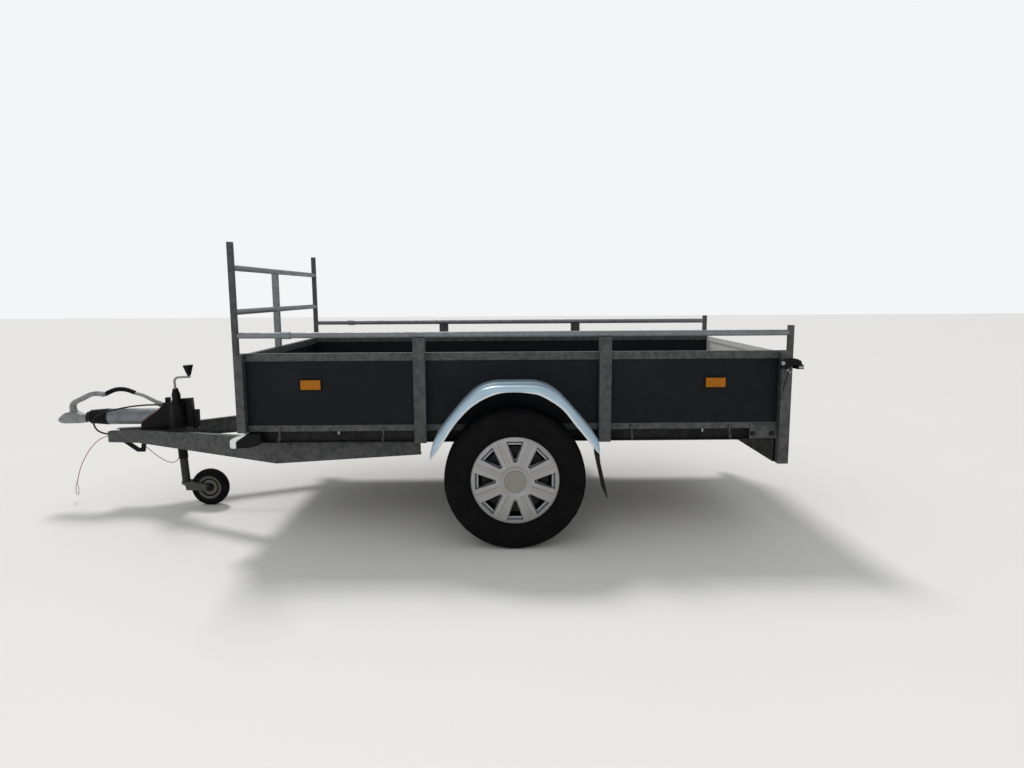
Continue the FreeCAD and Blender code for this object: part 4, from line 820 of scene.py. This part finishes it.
@dataclass
class Wheel:
    """One road wheel: tyre with tread, steel rim, drum and the spoked cover.

    Every profile pairs a radius with a distance along the axle, and a window's place up its sector with
    half its width there.
    """

    side: str
    sign: int
    # Half of the tyre's section, from the bead out and to the middle of the tread
    section: Pairs = (
        (178.3, 61), (186, 63.5), (195.2, 66), (200, 73), (205, 80), (210, 84),
        (213.5, 86.3), (215.5, 84.9), (218, 86.6), (230, 90), (244, 91.8), (252, 92),
        (254, 92.5), (258, 92.5), (260, 91.8), (274, 90.2), (288, 87), (292, 86.6),
        (294, 84.6), (302, 81.6), (307, 78), (310.5, 72), (309.9, 67), (311, 44),
        (311.3, 39), (312, 16.5), (312.2, 12))
    tread_r: float = 305.0
    # Where the tread's shoulder blocks, inner blocks and middle rib lie on each side of the middle
    bands: Pairs = ((45, 66), (17, 38), (-1, 10))
    steps: int = 80
    block: float = 6.2
    disc: float = 28.0
    seat: float = 5.0
    bulge: float = 18.5
    # The steel disc's inner and outer side, from its face, and the well between, from the track
    disc_in: Pairs = ((34.4, 0.3), (96, 0.3), (118, 14), (150, 14), (156, -2))
    disc_out: Pairs = ((155, 4), (150, 18.5), (116, 18.5), (94, 5), (34.4, 5))
    well: Pairs = (
        (156, -20), (174, -34), (174, -70), (190, -73), (193, -70), (178, -66),
        (178, -32), (160, -18), (160, 14), (178, 26), (178, 66), (193, 70),
        (190, 73), (174, 70), (174, 24))
    vent: Pairs = ((13, 0), (13, 2.2), (10.5, 3.6), (9, 2.4), (9, 0))
    vent_r: float = 132.0
    bolt_r: float = 56.0
    cover_face: float = 851.7
    spokes: int = 8
    face: Pairs = (
        (69, 13.8), (72, 14.6), (150, 12), (178, 9), (192, 4), (197, 0.8), (198, -1.6))
    rows: Sequence[float] = (69, 72, 78, 83.5, 86, 104, 122, 141, 160, 179, 181.5, 190, 194, 197, 198)
    window: Pairs = ((86, 7), (179, 38))
    # Columns of the grid across the window and on each half spoke, and the window's first and last row
    window_columns: int = 8
    spoke_columns: int = 6
    window_rows: tuple[int, int] = (4, 9)
    ledge: float = -1.0
    frames: tuple[tuple[Point, Point, float], ...] = (
        ((94, 4.8), (170, 31.5), -0.6), ((96, 4), (163.5, 29), -1), ((96, 4), (163.5, 29), -7))
    groove: Pair = (8.4, 5.8)
    groove_depth: float = 2.0
    dish: Pairs = ((70.5, 14), (69, 13.9), (66.5, 12.4), (60, 9.8), (54, 9), (50.5, 9.4), (48.6, 11),
                   (48.6, 8))
    middle: Pairs = ((48.2, 8), (48.2, 15.2), (47.4, 16.6), (45.4, 17.2), (43, 17), (20, 17.3), (0, 17.4))

    def build(self) -> None:
        """Make the wheel's pieces."""
        self.tyre()
        self.rim()
        self.cover()

    def finish(self, solid: Solid, name: str, finish: Finishes, replaced: str = "",
               others: Sequence[Finishes] = ()) -> None:
        """Put a piece that was made for the left wheel on this side, and let it ride on the wheel.

        Args:
            solid: the mesh.
            name: of the piece, without its side.
            finish: what it is made of.
            replaced: the CAD node that it stands for, without its side.
            others: the finishes of its marked faces.
        """
        bmesh.ops.scale(solid.bm, vec=(1, self.sign, 1), verts=solid.bm.verts)
        nodes = ("%s_%s" % (replaced, self.side),) if replaced else ()
        solid.piece("%s_%s" % (name, self.side), finish, "wheel_" + self.side, nodes, others=others)

    def tyre(self) -> None:
        """Turn the tyre, then raise its tread blocks and rib."""
        solid = Solid()
        centre = Vector((0, TRACK_Y, HUB_Z))
        solid.lathe(closed(self.section), centre, (0, 1, 0), self.steps, True)
        bmesh.ops.remove_doubles(solid.bm, verts=solid.bm.verts, dist=0.005)
        bmesh.ops.recalc_face_normals(solid.bm, faces=solid.bm.faces)
        spots = {face: face.calc_center_median() - centre for face in solid.bm.faces}
        tread = [face for face, spot in spots.items() if math.hypot(spot.x, spot.z) > self.tread_r]
        shoulder, inner, rib = (
            [face for face in tread if low < abs(spots[face].y) < high] for low, high in self.bands)
        for faces in (shoulder, inner):
            bmesh.ops.inset_individual(solid.bm, faces=faces, thickness=1.3, depth=self.block)
        bmesh.ops.inset_region(solid.bm, faces=rib, thickness=1.2, depth=self.block, use_even_offset=True)
        self.finish(solid, "road_tyre", Finishes.TYRE, "tyre")

    def rim(self) -> None:
        """Turn the steel rim and the drum, and add what shows through the cover's windows."""
        face = TRACK_Y + self.disc
        inner, outer = ([(r, face + y) for r, y in part] for part in (self.disc_in, self.disc_out))
        solid = Solid()
        well = [(r, TRACK_Y + y) for r, y in self.well]
        made = solid.lathe(inner + well + outer, (0, 0, HUB_Z), (0, 1, 0), 72, True)
        solid.soften(made, 1.2, 2, 0.7)
        self.finish(solid, "steel_rim", Finishes.WHEEL_STEEL, "rim")
        solid = Solid()
        for x, z in spread(8, self.vent_r, 0.5):
            solid.lathe(self.vent, (x, face + self.bulge, HUB_Z + z), (0, 1, 0), 20)
        for x, z in spread(5, self.bolt_r):
            solid.rod((x, face + self.seat, HUB_Z + z), (x, face + 18, HUB_Z + z), 11, 10, 6, 1)
        self.finish(solid, "wheel_bolts", Finishes.BOLT)
        self.finish(Solid().cad("brake_drum_left", 1.5), "drum", Finishes.BLACK_PAINT, "brake_drum")

    def cover(self) -> None:
        """Shape one eighth of the cover round its window, repeat it, and add the dish and the middle."""
        solid = Solid()
        self.frame(solid, self.sector(solid))
        first = solid.bm.verts[:] + solid.bm.edges[:] + solid.bm.faces[:]
        for index in range(1, self.spokes):
            copy = bmesh.ops.duplicate(solid.bm, geom=first)["geom"]
            turn = Matrix.Rotation(math.tau / self.spokes * index, 3, "Y")
            bmesh.ops.rotate(solid.bm, cent=(0, 0, HUB_Z), matrix=turn,
                             verts=[g for g in copy if isinstance(g, Vert)])
        # The frames' walls take the darker grey-blue lacquer, painted shade and reflection; the groove slopes
        # take the tan one, painted shade in the creases
        self.finish(solid, "wheel_cover", Finishes.LACQUER, "hubcap",
                    (Finishes.SHADED_LACQUER, Finishes.TAN_LACQUER))
        for name, finish, profile in (("cover_dish", Finishes.LACQUER, self.dish),
                                      ("cover_centre", Finishes.TAN_LACQUER, self.middle)):
            solid = Solid()
            solid.lathe(profile, (0, self.cover_face, HUB_Z), (0, 1, 0), 96)
            self.finish(solid, name, finish)

    def height(self, radius: float) -> float:
        """Find the height of the cover's face.

        Args:
            radius: from the hub's middle.

        Returns:
            The height outside cover_face.
        """
        for (r0, h0), (r1, h1) in zip(self.face, self.face[1:]):
            if radius <= r1:
                return h0 + (h1 - h0) * max(radius - r0, 0) / (r1 - r0)
        return self.face[-1][1]

    def sector(self, solid: Solid) -> Places:
        """Bend a grid into the cover's top eighth: a window between two half spokes with parallel creases.

        Args:
            solid: the mesh that it is added to.

        Returns:
            The window's vertices, each with its place across the window, -1 to 1, and along it, 0 to 1.
        """
        (r_in, half_in), (r_out, half_out) = self.window
        side, (first, last) = self.window_columns // 2, self.window_rows
        columns, rows = 2 * (side + self.spoke_columns), len(self.rows) - 1
        bm = solid.bm
        bmesh.ops.create_grid(bm, x_segments=columns, y_segments=rows, size=1)
        eighth = math.pi / self.spokes
        edge: Places = {}
        spots = {v: (round((v.co.x + 1) / 2 * columns) - columns // 2, round((v.co.y + 1) / 2 * rows))
                 for v in bm.verts}
        holes = [face for face in bm.faces
                 if all(abs(spots[v][0]) <= side and first <= spots[v][1] <= last for v in face.verts)]
        bmesh.ops.delete(bm, geom=holes, context="FACES")
        for vert in bm.verts:
            column, row = spots[vert]
            value = self.rows[row]
            along = min(max((value - r_in) / (r_out - r_in), 0), 1)
            half = half_in + along * (half_out - half_in)
            straight = first - 1 <= row <= last + 1
            corner = math.atan2(half, min(max(value, r_in), r_out))
            radius = value / math.cos(corner) if straight else value
            steps = abs(column)
            if steps <= side:
                share = steps / side
                angle = math.atan(share * math.tan(corner))
                spot = value / math.cos(angle) if straight else value
                lift = 0
                if first <= row <= last:
                    edge[vert] = (math.copysign(share, column), along)
            else:
                reach = radius * math.sin(eighth - corner)
                outer, inner = self.groove
                slope = reach - outer
                lanes = (reach - 2.5, reach - slope * 0.4, reach - slope * 0.75, outer, inner, 0)
                lane = lanes[steps - side - 1]
                angle, spot = eighth - math.asin(lane / radius), radius
                pressed = lane <= inner and self.rows[1] < radius < self.rows[-4]
                lift = -self.groove_depth if pressed else 0
            angle = math.copysign(angle, column)
            vert.co = (spot * math.sin(angle), self.cover_face + self.height(spot) + lift,
                       HUB_Z + spot * math.cos(angle))
        # The groove slopes between these columns take the third finish, tan lacquer: painted shade along the
        # creases
        crease = side + 4
        for face in bm.faces:
            if ({abs(spots[v][0]) for v in face.verts} == {crease, crease + 1}
                    and all(2 <= spots[v][1] <= len(self.rows) - 4 for v in face.verts)):
                face.material_index = 2
        return edge

    def frame(self, solid: Solid, window: Places) -> None:
        """Add the sloping frame in the window, down to the ledge at its outer end and the edge behind it.

        Args:
            solid: the mesh with the window's opening.
            window: its vertices, as sector() returns them.
        """
        rim = [e for e in solid.bm.edges if len(e.link_faces) == 1 and all(v in window for v in e.verts)]
        top = {v for e in rim for v in e.verts}
        places = window
        for (r_in, half_in), (r_out, half_out), height in self.frames:
            made = bmesh.ops.extrude_edge_only(solid.bm, edges=rim)["geom"]
            fresh: Places = {}
            for vert in (g for g in made if isinstance(g, Vert)):
                fresh[vert] = places[min(places, key=lambda v: (v.co - vert.co).length_squared)]
            for vert, (across, along) in fresh.items():
                half = half_in + along * (half_out - half_in)
                vert.co = (across * half, self.cover_face + height, HUB_Z + r_in + along * (r_out - r_in))
            # The sloping walls take the second finish, painted shade and sky reflection; the ledge keeps the
            # plain lacquer
            for face in (g for g in made if isinstance(g, Face)):
                face.material_index = int(height != self.ledge)
            places = fresh
            rim = [g for g in made if isinstance(g, bmesh.types.BMEdge)]
        solid.soften(top, 1.1, 3, 0.25)


@dataclass
class Running:
    """Axle, mudguards with their rolled lips, and mud flaps."""

    wall_y: float = 649.9
    lip_y: float = 879.9
    edge_r: float = 26.0
    sheet: float = 2.0
    lip_w: float = 6.0
    crown: Pairs = (
        (376.6, 423), (370, 458), (355.5, 507), (325.5, 551), (280.5, 606), (231.5, 664), (188, 705),
        (145, 731), (100, 744), (50, 747), (0, 747), (-50, 747), (-102, 744), (-147, 731), (-190, 706),
        (-234, 664.5), (-284, 608.5), (-329, 556), (-358, 517), (-370.5, 490), (-376.5, 445))
    lip: Pairs = (
        (372, 423), (316, 501), (266, 578), (200, 649), (134, 692), (64, 717), (-12, 721), (-82, 713),
        (-125, 699), (-207, 646), (-261, 579), (-311, 518), (-350, 468), (-372, 445))
    bolts: Bolts = (((-90, SIDE_Y + 2.5, 480), (0, 1, 0), 17),
                    ((90, SIDE_Y + 2.5, 480), (0, 1, 0), 17))
    rivet: Points = ((-30, 760, 745), (-30, 760, 752))
    # The axle below the floor in the nearly black zinc: dirt and painted shade
    parts: Sequence[Dressed] = (Dressed("axle", "axle_beam", Finishes.DIRTY_SHADED_GALVANISED, 2),
                                Dressed("mud_flaps", "rubber_flaps", Finishes.RUBBER, 1.5))

    def skin(self, deep: float, inset: float) -> list[Pair]:
        """Find one side of the sheet across the mudguard, from the side board out and down to the lip.

        Args:
            deep: from the crown down to the lip.
            inset: from the outer side, 0 or the sheet's thickness.

        Returns:
            Pairs of a depth under the crown and a place along Y.
        """
        start, radius = self.lip_y - self.edge_r, self.edge_r - inset
        found = [(inset, self.wall_y + share / 4 * (start - self.wall_y)) for share in range(4)]
        depths = [min(self.edge_r - radius * math.cos(step * math.pi / 20), deep) for step in range(11)]
        edge = max(deep - self.lip_w, depths[-1])
        depths += [depths[-1] + (edge - depths[-1]) * share / 4 for share in range(1, 5)] + [deep]
        for depth in depths:
            under = max(self.edge_r - depth, 0)
            found.append((depth, start + math.sqrt(max(radius ** 2 - under ** 2, 0))))
        return found

    def guard(self, side: str, sign: int) -> None:
        """Loft a pressed mudguard along its crown: a rounded outer edge, and a skirt cut along the lip.

        Args:
            side: left or right.
            sign: 1 on the left, -1 on the right.
        """
        crown, lip = smooth(self.crown), smooth(self.lip)
        sections = []
        for index, spot in enumerate(crown):
            way = (crown[min(index + 1, len(crown) - 1)] - crown[max(index - 1, 0)]).normalized()
            inward = Vector((-way.y, way.x))
            hits = [intersect_line_line_2d(spot, spot + inward * 150, p, q) for p, q in zip(lip, lip[1:])]
            reach = [(hit - spot).length for hit in hits if hit] or [min((p - spot).length for p in lip)]
            deep = max(min(reach), self.sheet + 1)
            outer, inner = self.skin(deep, 0), self.skin(deep, self.sheet)
            sections.append([(spot + inward * depth, y) for depth, y in (*outer, *reversed(inner), outer[0])])
        solid = Solid()
        columns, rows = len(sections) - 1, len(sections[0]) - 1
        bmesh.ops.create_grid(solid.bm, x_segments=columns, y_segments=rows, size=1)
        places = {v: [round((part + 1) / 2 * count) for part, count in zip(v.co, (columns, rows))]
                  for v in solid.bm.verts}
        # The outer sheet's last band above the lip takes the edge finish: a painted highlight along the lip
        solid.mark(lambda face: {places[v][1] for v in face.verts} == {len(outer) - 2, len(outer) - 1})
        for vert, (column, row) in places.items():
            spot, y = sections[column][row]
            vert.co = (spot.x, sign * y, spot.y)
        bmesh.ops.remove_doubles(solid.bm, verts=solid.bm.verts, dist=0.02)
        bmesh.ops.holes_fill(solid.bm, edges=[e for e in solid.bm.edges if e.is_boundary], sides=0)
        solid.piece("guard_%s" % side, Finishes.BRIGHT_ZINC, replaces=("mudguard_%s" % side,), sharp=40,
                    weighted=False, others=(Finishes.ZINC_EDGE_HIGHLIGHT,))
        # The rolled lip in the edge finish, a painted highlight
        edge = [(p.x, sign * (self.lip_y - 4), p.y + 1) for p in smooth(self.lip, 3)]
        Solid().sweep(edge, 3.6).piece("guard_lip_%s" % side, Finishes.ZINC_EDGE_HIGHLIGHT)

    def build(self) -> None:
        """Make the pieces."""
        for part in self.parts:
            part.build()
        self.guard("left", 1)
        self.guard("right", -1)
        solid = Solid().bolts(self.bolts)
        solid.rod(*self.rivet, 3, 2.4, 16)
        solid.both().piece("guard_bolts", Finishes.BOLT)


@dataclass
class LoadBox:
    """Boards, profiles, posts, rails, rack and the chassis under them."""

    # Nodes that keep their name with _steel or _film after it, with the width of the rounding
    steel: tuple[tuple[str, Finishes, float], ...] = (
        ("side_frame_left", Finishes.GALVANISED, 1.6), ("side_frame_right", Finishes.GALVANISED, 1.6),
        ("corner_posts", Finishes.GALVANISED, 2.5), ("rack_posts", Finishes.GALVANISED, 2.5),
        # Rails and rack bars in the paler zinc: painted sunlight on their tops
        ("side_rails", Finishes.PALE_GALVANISED, 0.8), ("rack_bars", Finishes.PALE_GALVANISED, 0.8),
        # rear_lamp_bar below: nearly black zinc, dirt and painted shade
        ("tailgate_hinges", Finishes.GALVANISED, 0.8), ("rear_lamp_bar", Finishes.DIRTY_SHADED_GALVANISED, 0.8))
    frame_steel: Sequence[str] = ("chassis_rails", "cross_members")
    boards: Sequence[str] = ("side_panel_left", "side_panel_right", "front_board")
    # Upright strip that closes each end of the front board
    strip: Points = ((1259.5, 623.5, 512), (1275.9, 627.9, 862))
    bolts: Bolts = (
        ((-1123, SIDE_Y + 5, 483), (0, 1, 0), 17, 7), ((-1212, SIDE_Y + 5, 483), (0, 1, 0), 17, 7))
    drains_x: Sequence[float] = (822, -888)

    def build(self) -> None:
        """Make the box's pieces."""
        for name, finish, width in self.steel:
            Dressed(name, name + "_steel", finish, width).build()
        ends = Solid().block(*self.strip, 0.6).both()
        ends.cad("front_board_frame", 1.2).piece("front_board_frame_steel", Finishes.GALVANISED,
                                                 replaces=("front_board_frame",))
        # The chassis steel below the floor, nearly black: dirt and painted shade
        for name in self.frame_steel:
            Dressed(name, name + "_steel", Finishes.DIRTY_SHADED_GALVANISED, 1.5, slot="dark_steel").build()
        for name in self.boards:
            Dressed(name, name + "_film", Finishes.FILM_PLY, 0.8).build()
        Dressed("floor_board", "floor_board_film", Finishes.FLOOR_PLY, 0.8).build()
        Solid().bolts(self.bolts).both().piece("plate_bolts", Finishes.DARK_BOLT)
        solid = Solid()
        for x in self.drains_x:
            solid.rod((x, SIDE_Y - 6, 507.8), (x, SIDE_Y - 6, 492), 5, segments=16, bevel=1)
        solid.both().piece("drain_ends", Finishes.BOLT)


@dataclass
class Tailgate:
    """Gate with its panel, straps and latches."""

    top: float = 862.0
    panel_x: float = -1285.0
    latch: Dressed = Dressed("tailgate_latches", "gate_latches", Finishes.BLACK_PAINT, 2.2, body="tailgate")
    bolts: Bolts = (((-1231, 706.6, 820), (0, 1, 0), 13, 5),)
    stud: Points = ((-1304, 703, 801), (-1327.4, 703, 801))
    pins: Pairs = ((-1253, 788), (-1265, 779))
    strap: Points = (
        (-1259, 704, 786), (-1254, 706, 762), (-1246, 706, 735), (-1238, 705, 704),
        (-1236, 705, 690))

    def build(self) -> None:
        """Make the gate's pieces."""
        solid = Solid().cad("tailgate_frame", 1.2)
        bmesh.ops.recalc_face_normals(solid.bm, faces=solid.bm.faces)
        # Frame faces that look forward, and its top, take the gate sheet's near white: painted sunlight
        solid.mark(lambda face: face.normal.x > 0.5 or (
            face.normal.z > 0.5 and face.calc_center_median().z > self.top - 10))
        solid.piece("gate_frame_steel", Finishes.GALVANISED, "tailgate", ("tailgate_frame",),
                    others=(Finishes.SUNLIT_GATE_SHEET,))
        solid = Solid().cad("tailgate_panel", 0.8)
        # The panel's outer faces take the paler galvanised; its inner faces keep the near white, painted
        # sunlight
        solid.mark(lambda face: face.calc_center_median().x < self.panel_x)
        solid.piece("gate_panel_sheet", Finishes.SUNLIT_GATE_SHEET, "tailgate", ("tailgate_panel",),
                    others=(Finishes.PALE_GALVANISED,))
        self.latch.build()
        solid = Solid().bolts(self.bolts)
        solid.rod(*self.stud, 7, segments=20, bevel=1.5)
        for x, z in self.pins:
            solid.rod((x, 698, z), (x, 709, z), 4.5, segments=16)
        solid.both().piece("latch_bolts", Finishes.BOLT, "tailgate")
        Solid().sweep(self.strap, 3.2, 0.6).both().piece("latch_straps", Finishes.DARK_BOLT, "tailgate",
                                                         slot="black_steel")


@dataclass
class Drawbar:
    """The two beams with the bolts on their upper flanges."""

    bolts: Bolts = (
        ((2072, 42, 404), (0, 0, 1), 15), ((1835, 160, 416), (0, 0, 1), 15),
        ((1100, 520, 420), (0, 1, 0), 17), ((760, 520, 420), (0, 1, 0), 17), ((560, 520, 420), (0, 1, 0), 17))

    def build(self) -> None:
        """Make the beams and their bolts."""
        for name in ("drawbar_beam_left", "drawbar_beam_right"):
            Dressed(name, name + "_steel", Finishes.GALVANISED, 1.6).build()
        Solid().bolts(self.bolts).both().piece("drawbar_bolts", Finishes.GALVANISED)


@dataclass
class Coupling:
    """Overrun tube, bellows, cast head, lever, handbrake and the linkage under them."""

    parts: Sequence[Dressed] = (
        # The slide tube in the paler zinc: painted sunlight on its top
        Dressed("overrun_tube", "slide_tube", Finishes.PALE_GALVANISED, 1.5),
        Dressed("overrun_bracket", "seat_plates", Finishes.BLACK_PAINT, 1.6),
        Dressed("coupling_head", "cast_head", Finishes.CAST, 3.5, 3),
        Dressed("coupling_handle", "cast_lever", Finishes.CAST, 4, 3),
        Dressed("handbrake_lever", "brake_lever", Finishes.PALE_STEEL, 1.5),
        Dressed("brake_relay_lever", "relay_lever", Finishes.BLACK_PAINT, 1.5),
        # The brake rod in the nearly black zinc: dirt and painted shade
        Dressed("brake_rod", "brake_pull_rod", Finishes.DIRTY_SHADED_GALVANISED, 0.5, slot="black_steel"),
        Dressed("plug_holder", "parking_socket", Finishes.PLASTIC, 3))
    tube_z: float = 471.0
    ribs: int = 7
    ribs_x: Pair = (2252.5, 2360)
    # One rib of the bellows: how far along it, and how far under its top
    rib: Pairs = ((0.06, 8), (0.26, 2.6), (0.42, 0.3), (0.58, 0.3), (0.74, 2.6), (0.94, 8))
    collar: Pairs = ((29, 2360.8), (29, 2364.5), (27.8, 2365.5), (27.8, 2369.5), (29, 2370.5),
                     (29, 2375.2), (24, 2375.7))
    grip_y: float = -55.6
    grip_line: Pairs = ((2136, 596), (2166, 609), (2198, 617), (2236, 617), (2272, 605), (2306, 588))
    bolts: Bolts = (((1952, -65, 480), (0, -1, 0), 17), ((2435, 24, 476), (0, 1, 0), 13, 6))
    relay_pin: Points = ((2071, -12, 352), (2071, 12, 352))
    wire: Points = (
        (2052, 50, 444), (2010, 52, 480), (1975, 50, 498), (1940, 53, 530),
        (1905, 51, 553))

    def build(self) -> None:
        """Make the coupling's pieces."""
        for part in self.parts:
            part.build()
        self.bellows()
        self.grip()
        self.details()

    def bellows(self) -> None:
        """Turn the bellows: rounded ribs that become smaller to the front, and a collar."""
        first, last = self.ribs_x
        profile = [(24, first)]
        pitch = (last - first) / self.ribs
        for index in range(self.ribs):
            outer = 46 - 8 * index / self.ribs
            start = first + index * pitch
            profile += [(outer - drop, start + share * pitch) for share, drop in self.rib]
        solid = Solid()
        solid.lathe([*profile, *self.collar], (0, 0, self.tube_z), (1, 0, 0), 64)
        solid.piece("ribbed_bellows", Finishes.RUBBER, replaces=("bellows",), sharp=60)

    def grip(self) -> None:
        """Make the handbrake's moulded grip with finger ribs."""
        route = [Vector((x, self.grip_y, z)) for x, z in self.grip_line]
        solid = Solid().sweep(route, 12.6, 0.85)
        for start, end in zip(route[1:], route[2:]):
            way = (end - start).normalized() * 3
            for spot in (start + (end - start) * share for share in (0.25, 0.75)):
                solid.rod(spot - way, spot + way, 12.9, bevel=1.4)
        solid.piece("brake_grip", Finishes.PLASTIC, replaces=("handbrake_grip",))

    def details(self) -> None:
        """Add the bolts, the relay pin and the wire that is tied along the seat's sloping edge."""
        solid = Solid().bolts(self.bolts)
        solid.rod(*self.relay_pin, 7, segments=20, bevel=1)
        solid.piece("coupling_bolts", Finishes.BOLT)
        solid = Solid().sweep(self.wire, 1.5).sweep([(x, y + 2.4, z + 3) for x, y, z in self.wire], 1.5)
        solid.piece("tied_wire", Finishes.DULL_SLEEVE)


@dataclass
class Jockey:
    """Jockey wheel: clamp, tubes, crank, knob, fork and wheel."""

    stand: Sequence[Dressed] = (
        Dressed("jockey_outer_tube", "stand_tube", Finishes.BLACK_PAINT, 1),
        Dressed("jockey_clamp", "tube_clamp", Finishes.BLACK_PAINT, 2))
    moving: Sequence[Dressed] = (
        Dressed("jockey_knob", "crank_knob", Finishes.PLASTIC, 3, 3),
        Dressed("jockey_inner_tube", "slide_tube_inner", Finishes.GREY_PAINT, 0.8, body="jockey_slide"),
        Dressed("jockey_fork", "wheel_fork", Finishes.FORK_STEEL, 1.5, body="jockey_swivel"))
    tyre: Dressed = Dressed("jockey_tyre", "small_tyre", Finishes.TYRE, 2.5, 3, "jockey_wheel")
    # Under this height the crank's faces are the painted cap
    cap_top: float = 640.0
    rim_side: Pairs = (
        (6.6, 25), (15, 25), (16.5, 23.5), (17.5, 10), (22.5, 9), (25, 13.5), (40.5, 15.5), (43, 10),
        (48.5, 9.5), (50.5, 16), (53, 18), (58, 18.5), (61, 20.5), (67.9, 21))
    rings: Pairs = ((23, 41), (49.5, 60))

    def build(self) -> None:
        """Make the jockey wheel's pieces."""
        for part in self.stand:
            part.build()
        solid = Solid().cad("jockey_crank", 0.8).mark(lambda face: face.calc_center_median().z < self.cap_top)
        solid.piece("crank", Finishes.PALE_STEEL, replaces=("jockey_crank",), slot="black_steel",
                    others=(Finishes.BLACK_PAINT,))
        for part in self.moving:
            part.build()
        self.rim()
        self.tyre.build()

    def rim(self) -> None:
        """Turn the small rim with its two pressed rings, and put the axle's nuts on the fork."""
        low, high = (Vector(corner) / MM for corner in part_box("jockey_rim"))
        centre = (low + high) / 2 + Vector((ORIGIN_X, 0, 0))
        solid = Solid()
        solid.lathe(closed(self.rim_side), centre, (0, 1, 0), 64, True)
        for face in solid.bm.faces:
            radius = math.hypot(*(face.calc_center_median() - centre).xz)
            face.material_index = int(not any(first < radius < last for first, last in self.rings))
        solid.piece("small_rim", Finishes.JOCKEY_RIM, "jockey_wheel", ("jockey_rim",),
                    others=(Finishes.WHEEL_STEEL,))
        low, high = (Vector(corner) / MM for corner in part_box("jockey_fork"))
        solid = Solid()
        for y, way in ((high.y, 1), (low.y, -1)):
            solid.bolt((centre.x, y, centre.z), (0, way, 0), 17, 6)
        solid.piece("fork_nuts", Finishes.DARK_BOLT, "jockey_swivel")


@dataclass
class Lamps:
    """Rear lamps, front marker lamps and side reflectors."""

    parts: Sequence[Dressed] = (
        Dressed("marker_lamp_bodies", "marker_housings", Finishes.PLASTIC, 3),
        Dressed("marker_lamp_lenses", "marker_lenses", Finishes.CLEAR, 3, 3),
        Dressed("reflector_bases", "reflector_backs", Finishes.PLASTIC, 1.5),
        Dressed("reflector_lenses", "reflectors", Finishes.AMBER, 1.5))
    # The rear lamp's corners, and the name, inner and outer side of each of its lenses
    low: Point = (-1276, 399.6, 352.5)
    high: Point = (-1229.3, 619.6, 441)
    lenses: tuple[tuple[str, float, float, Finishes], ...] = (
        ("tail", 403, 475, Finishes.RED), ("stop", 476.5, 546, Finishes.RED),
        ("turn", 547.5, 616, Finishes.AMBER))

    def build(self) -> None:
        """Make the lamps' pieces."""
        for part in self.parts:
            part.build()
        (x, y, low), (_, _, high) = self.low, self.high
        solid = Solid().block((x + 12, y, low), self.high, 4, 3)
        solid.both().piece("rear_lamp_housings", Finishes.PLASTIC, replaces=("rear_lamps",))
        for name, first, last, finish in self.lenses:
            solid = Solid().block((x, first, low + 4), (x + 14, last, high - 4), 4, 3)
            solid.both().piece("rear_%s_lenses" % name, finish)


def main() -> None:
    """Build the scene and every sub-assembly of the trailer, in order."""
    logging.basicConfig(level=logging.INFO, format="%(message)s")
    for part in (Scene(), Cords(), Wheel("left", 1), Wheel("right", -1), Running(), LoadBox(), Tailgate(),
                 Drawbar(), Coupling(), Jockey(), Lamps()):
        part.build()
    bpy.context.view_layer.update()


if __name__ == "__main__":
    main()
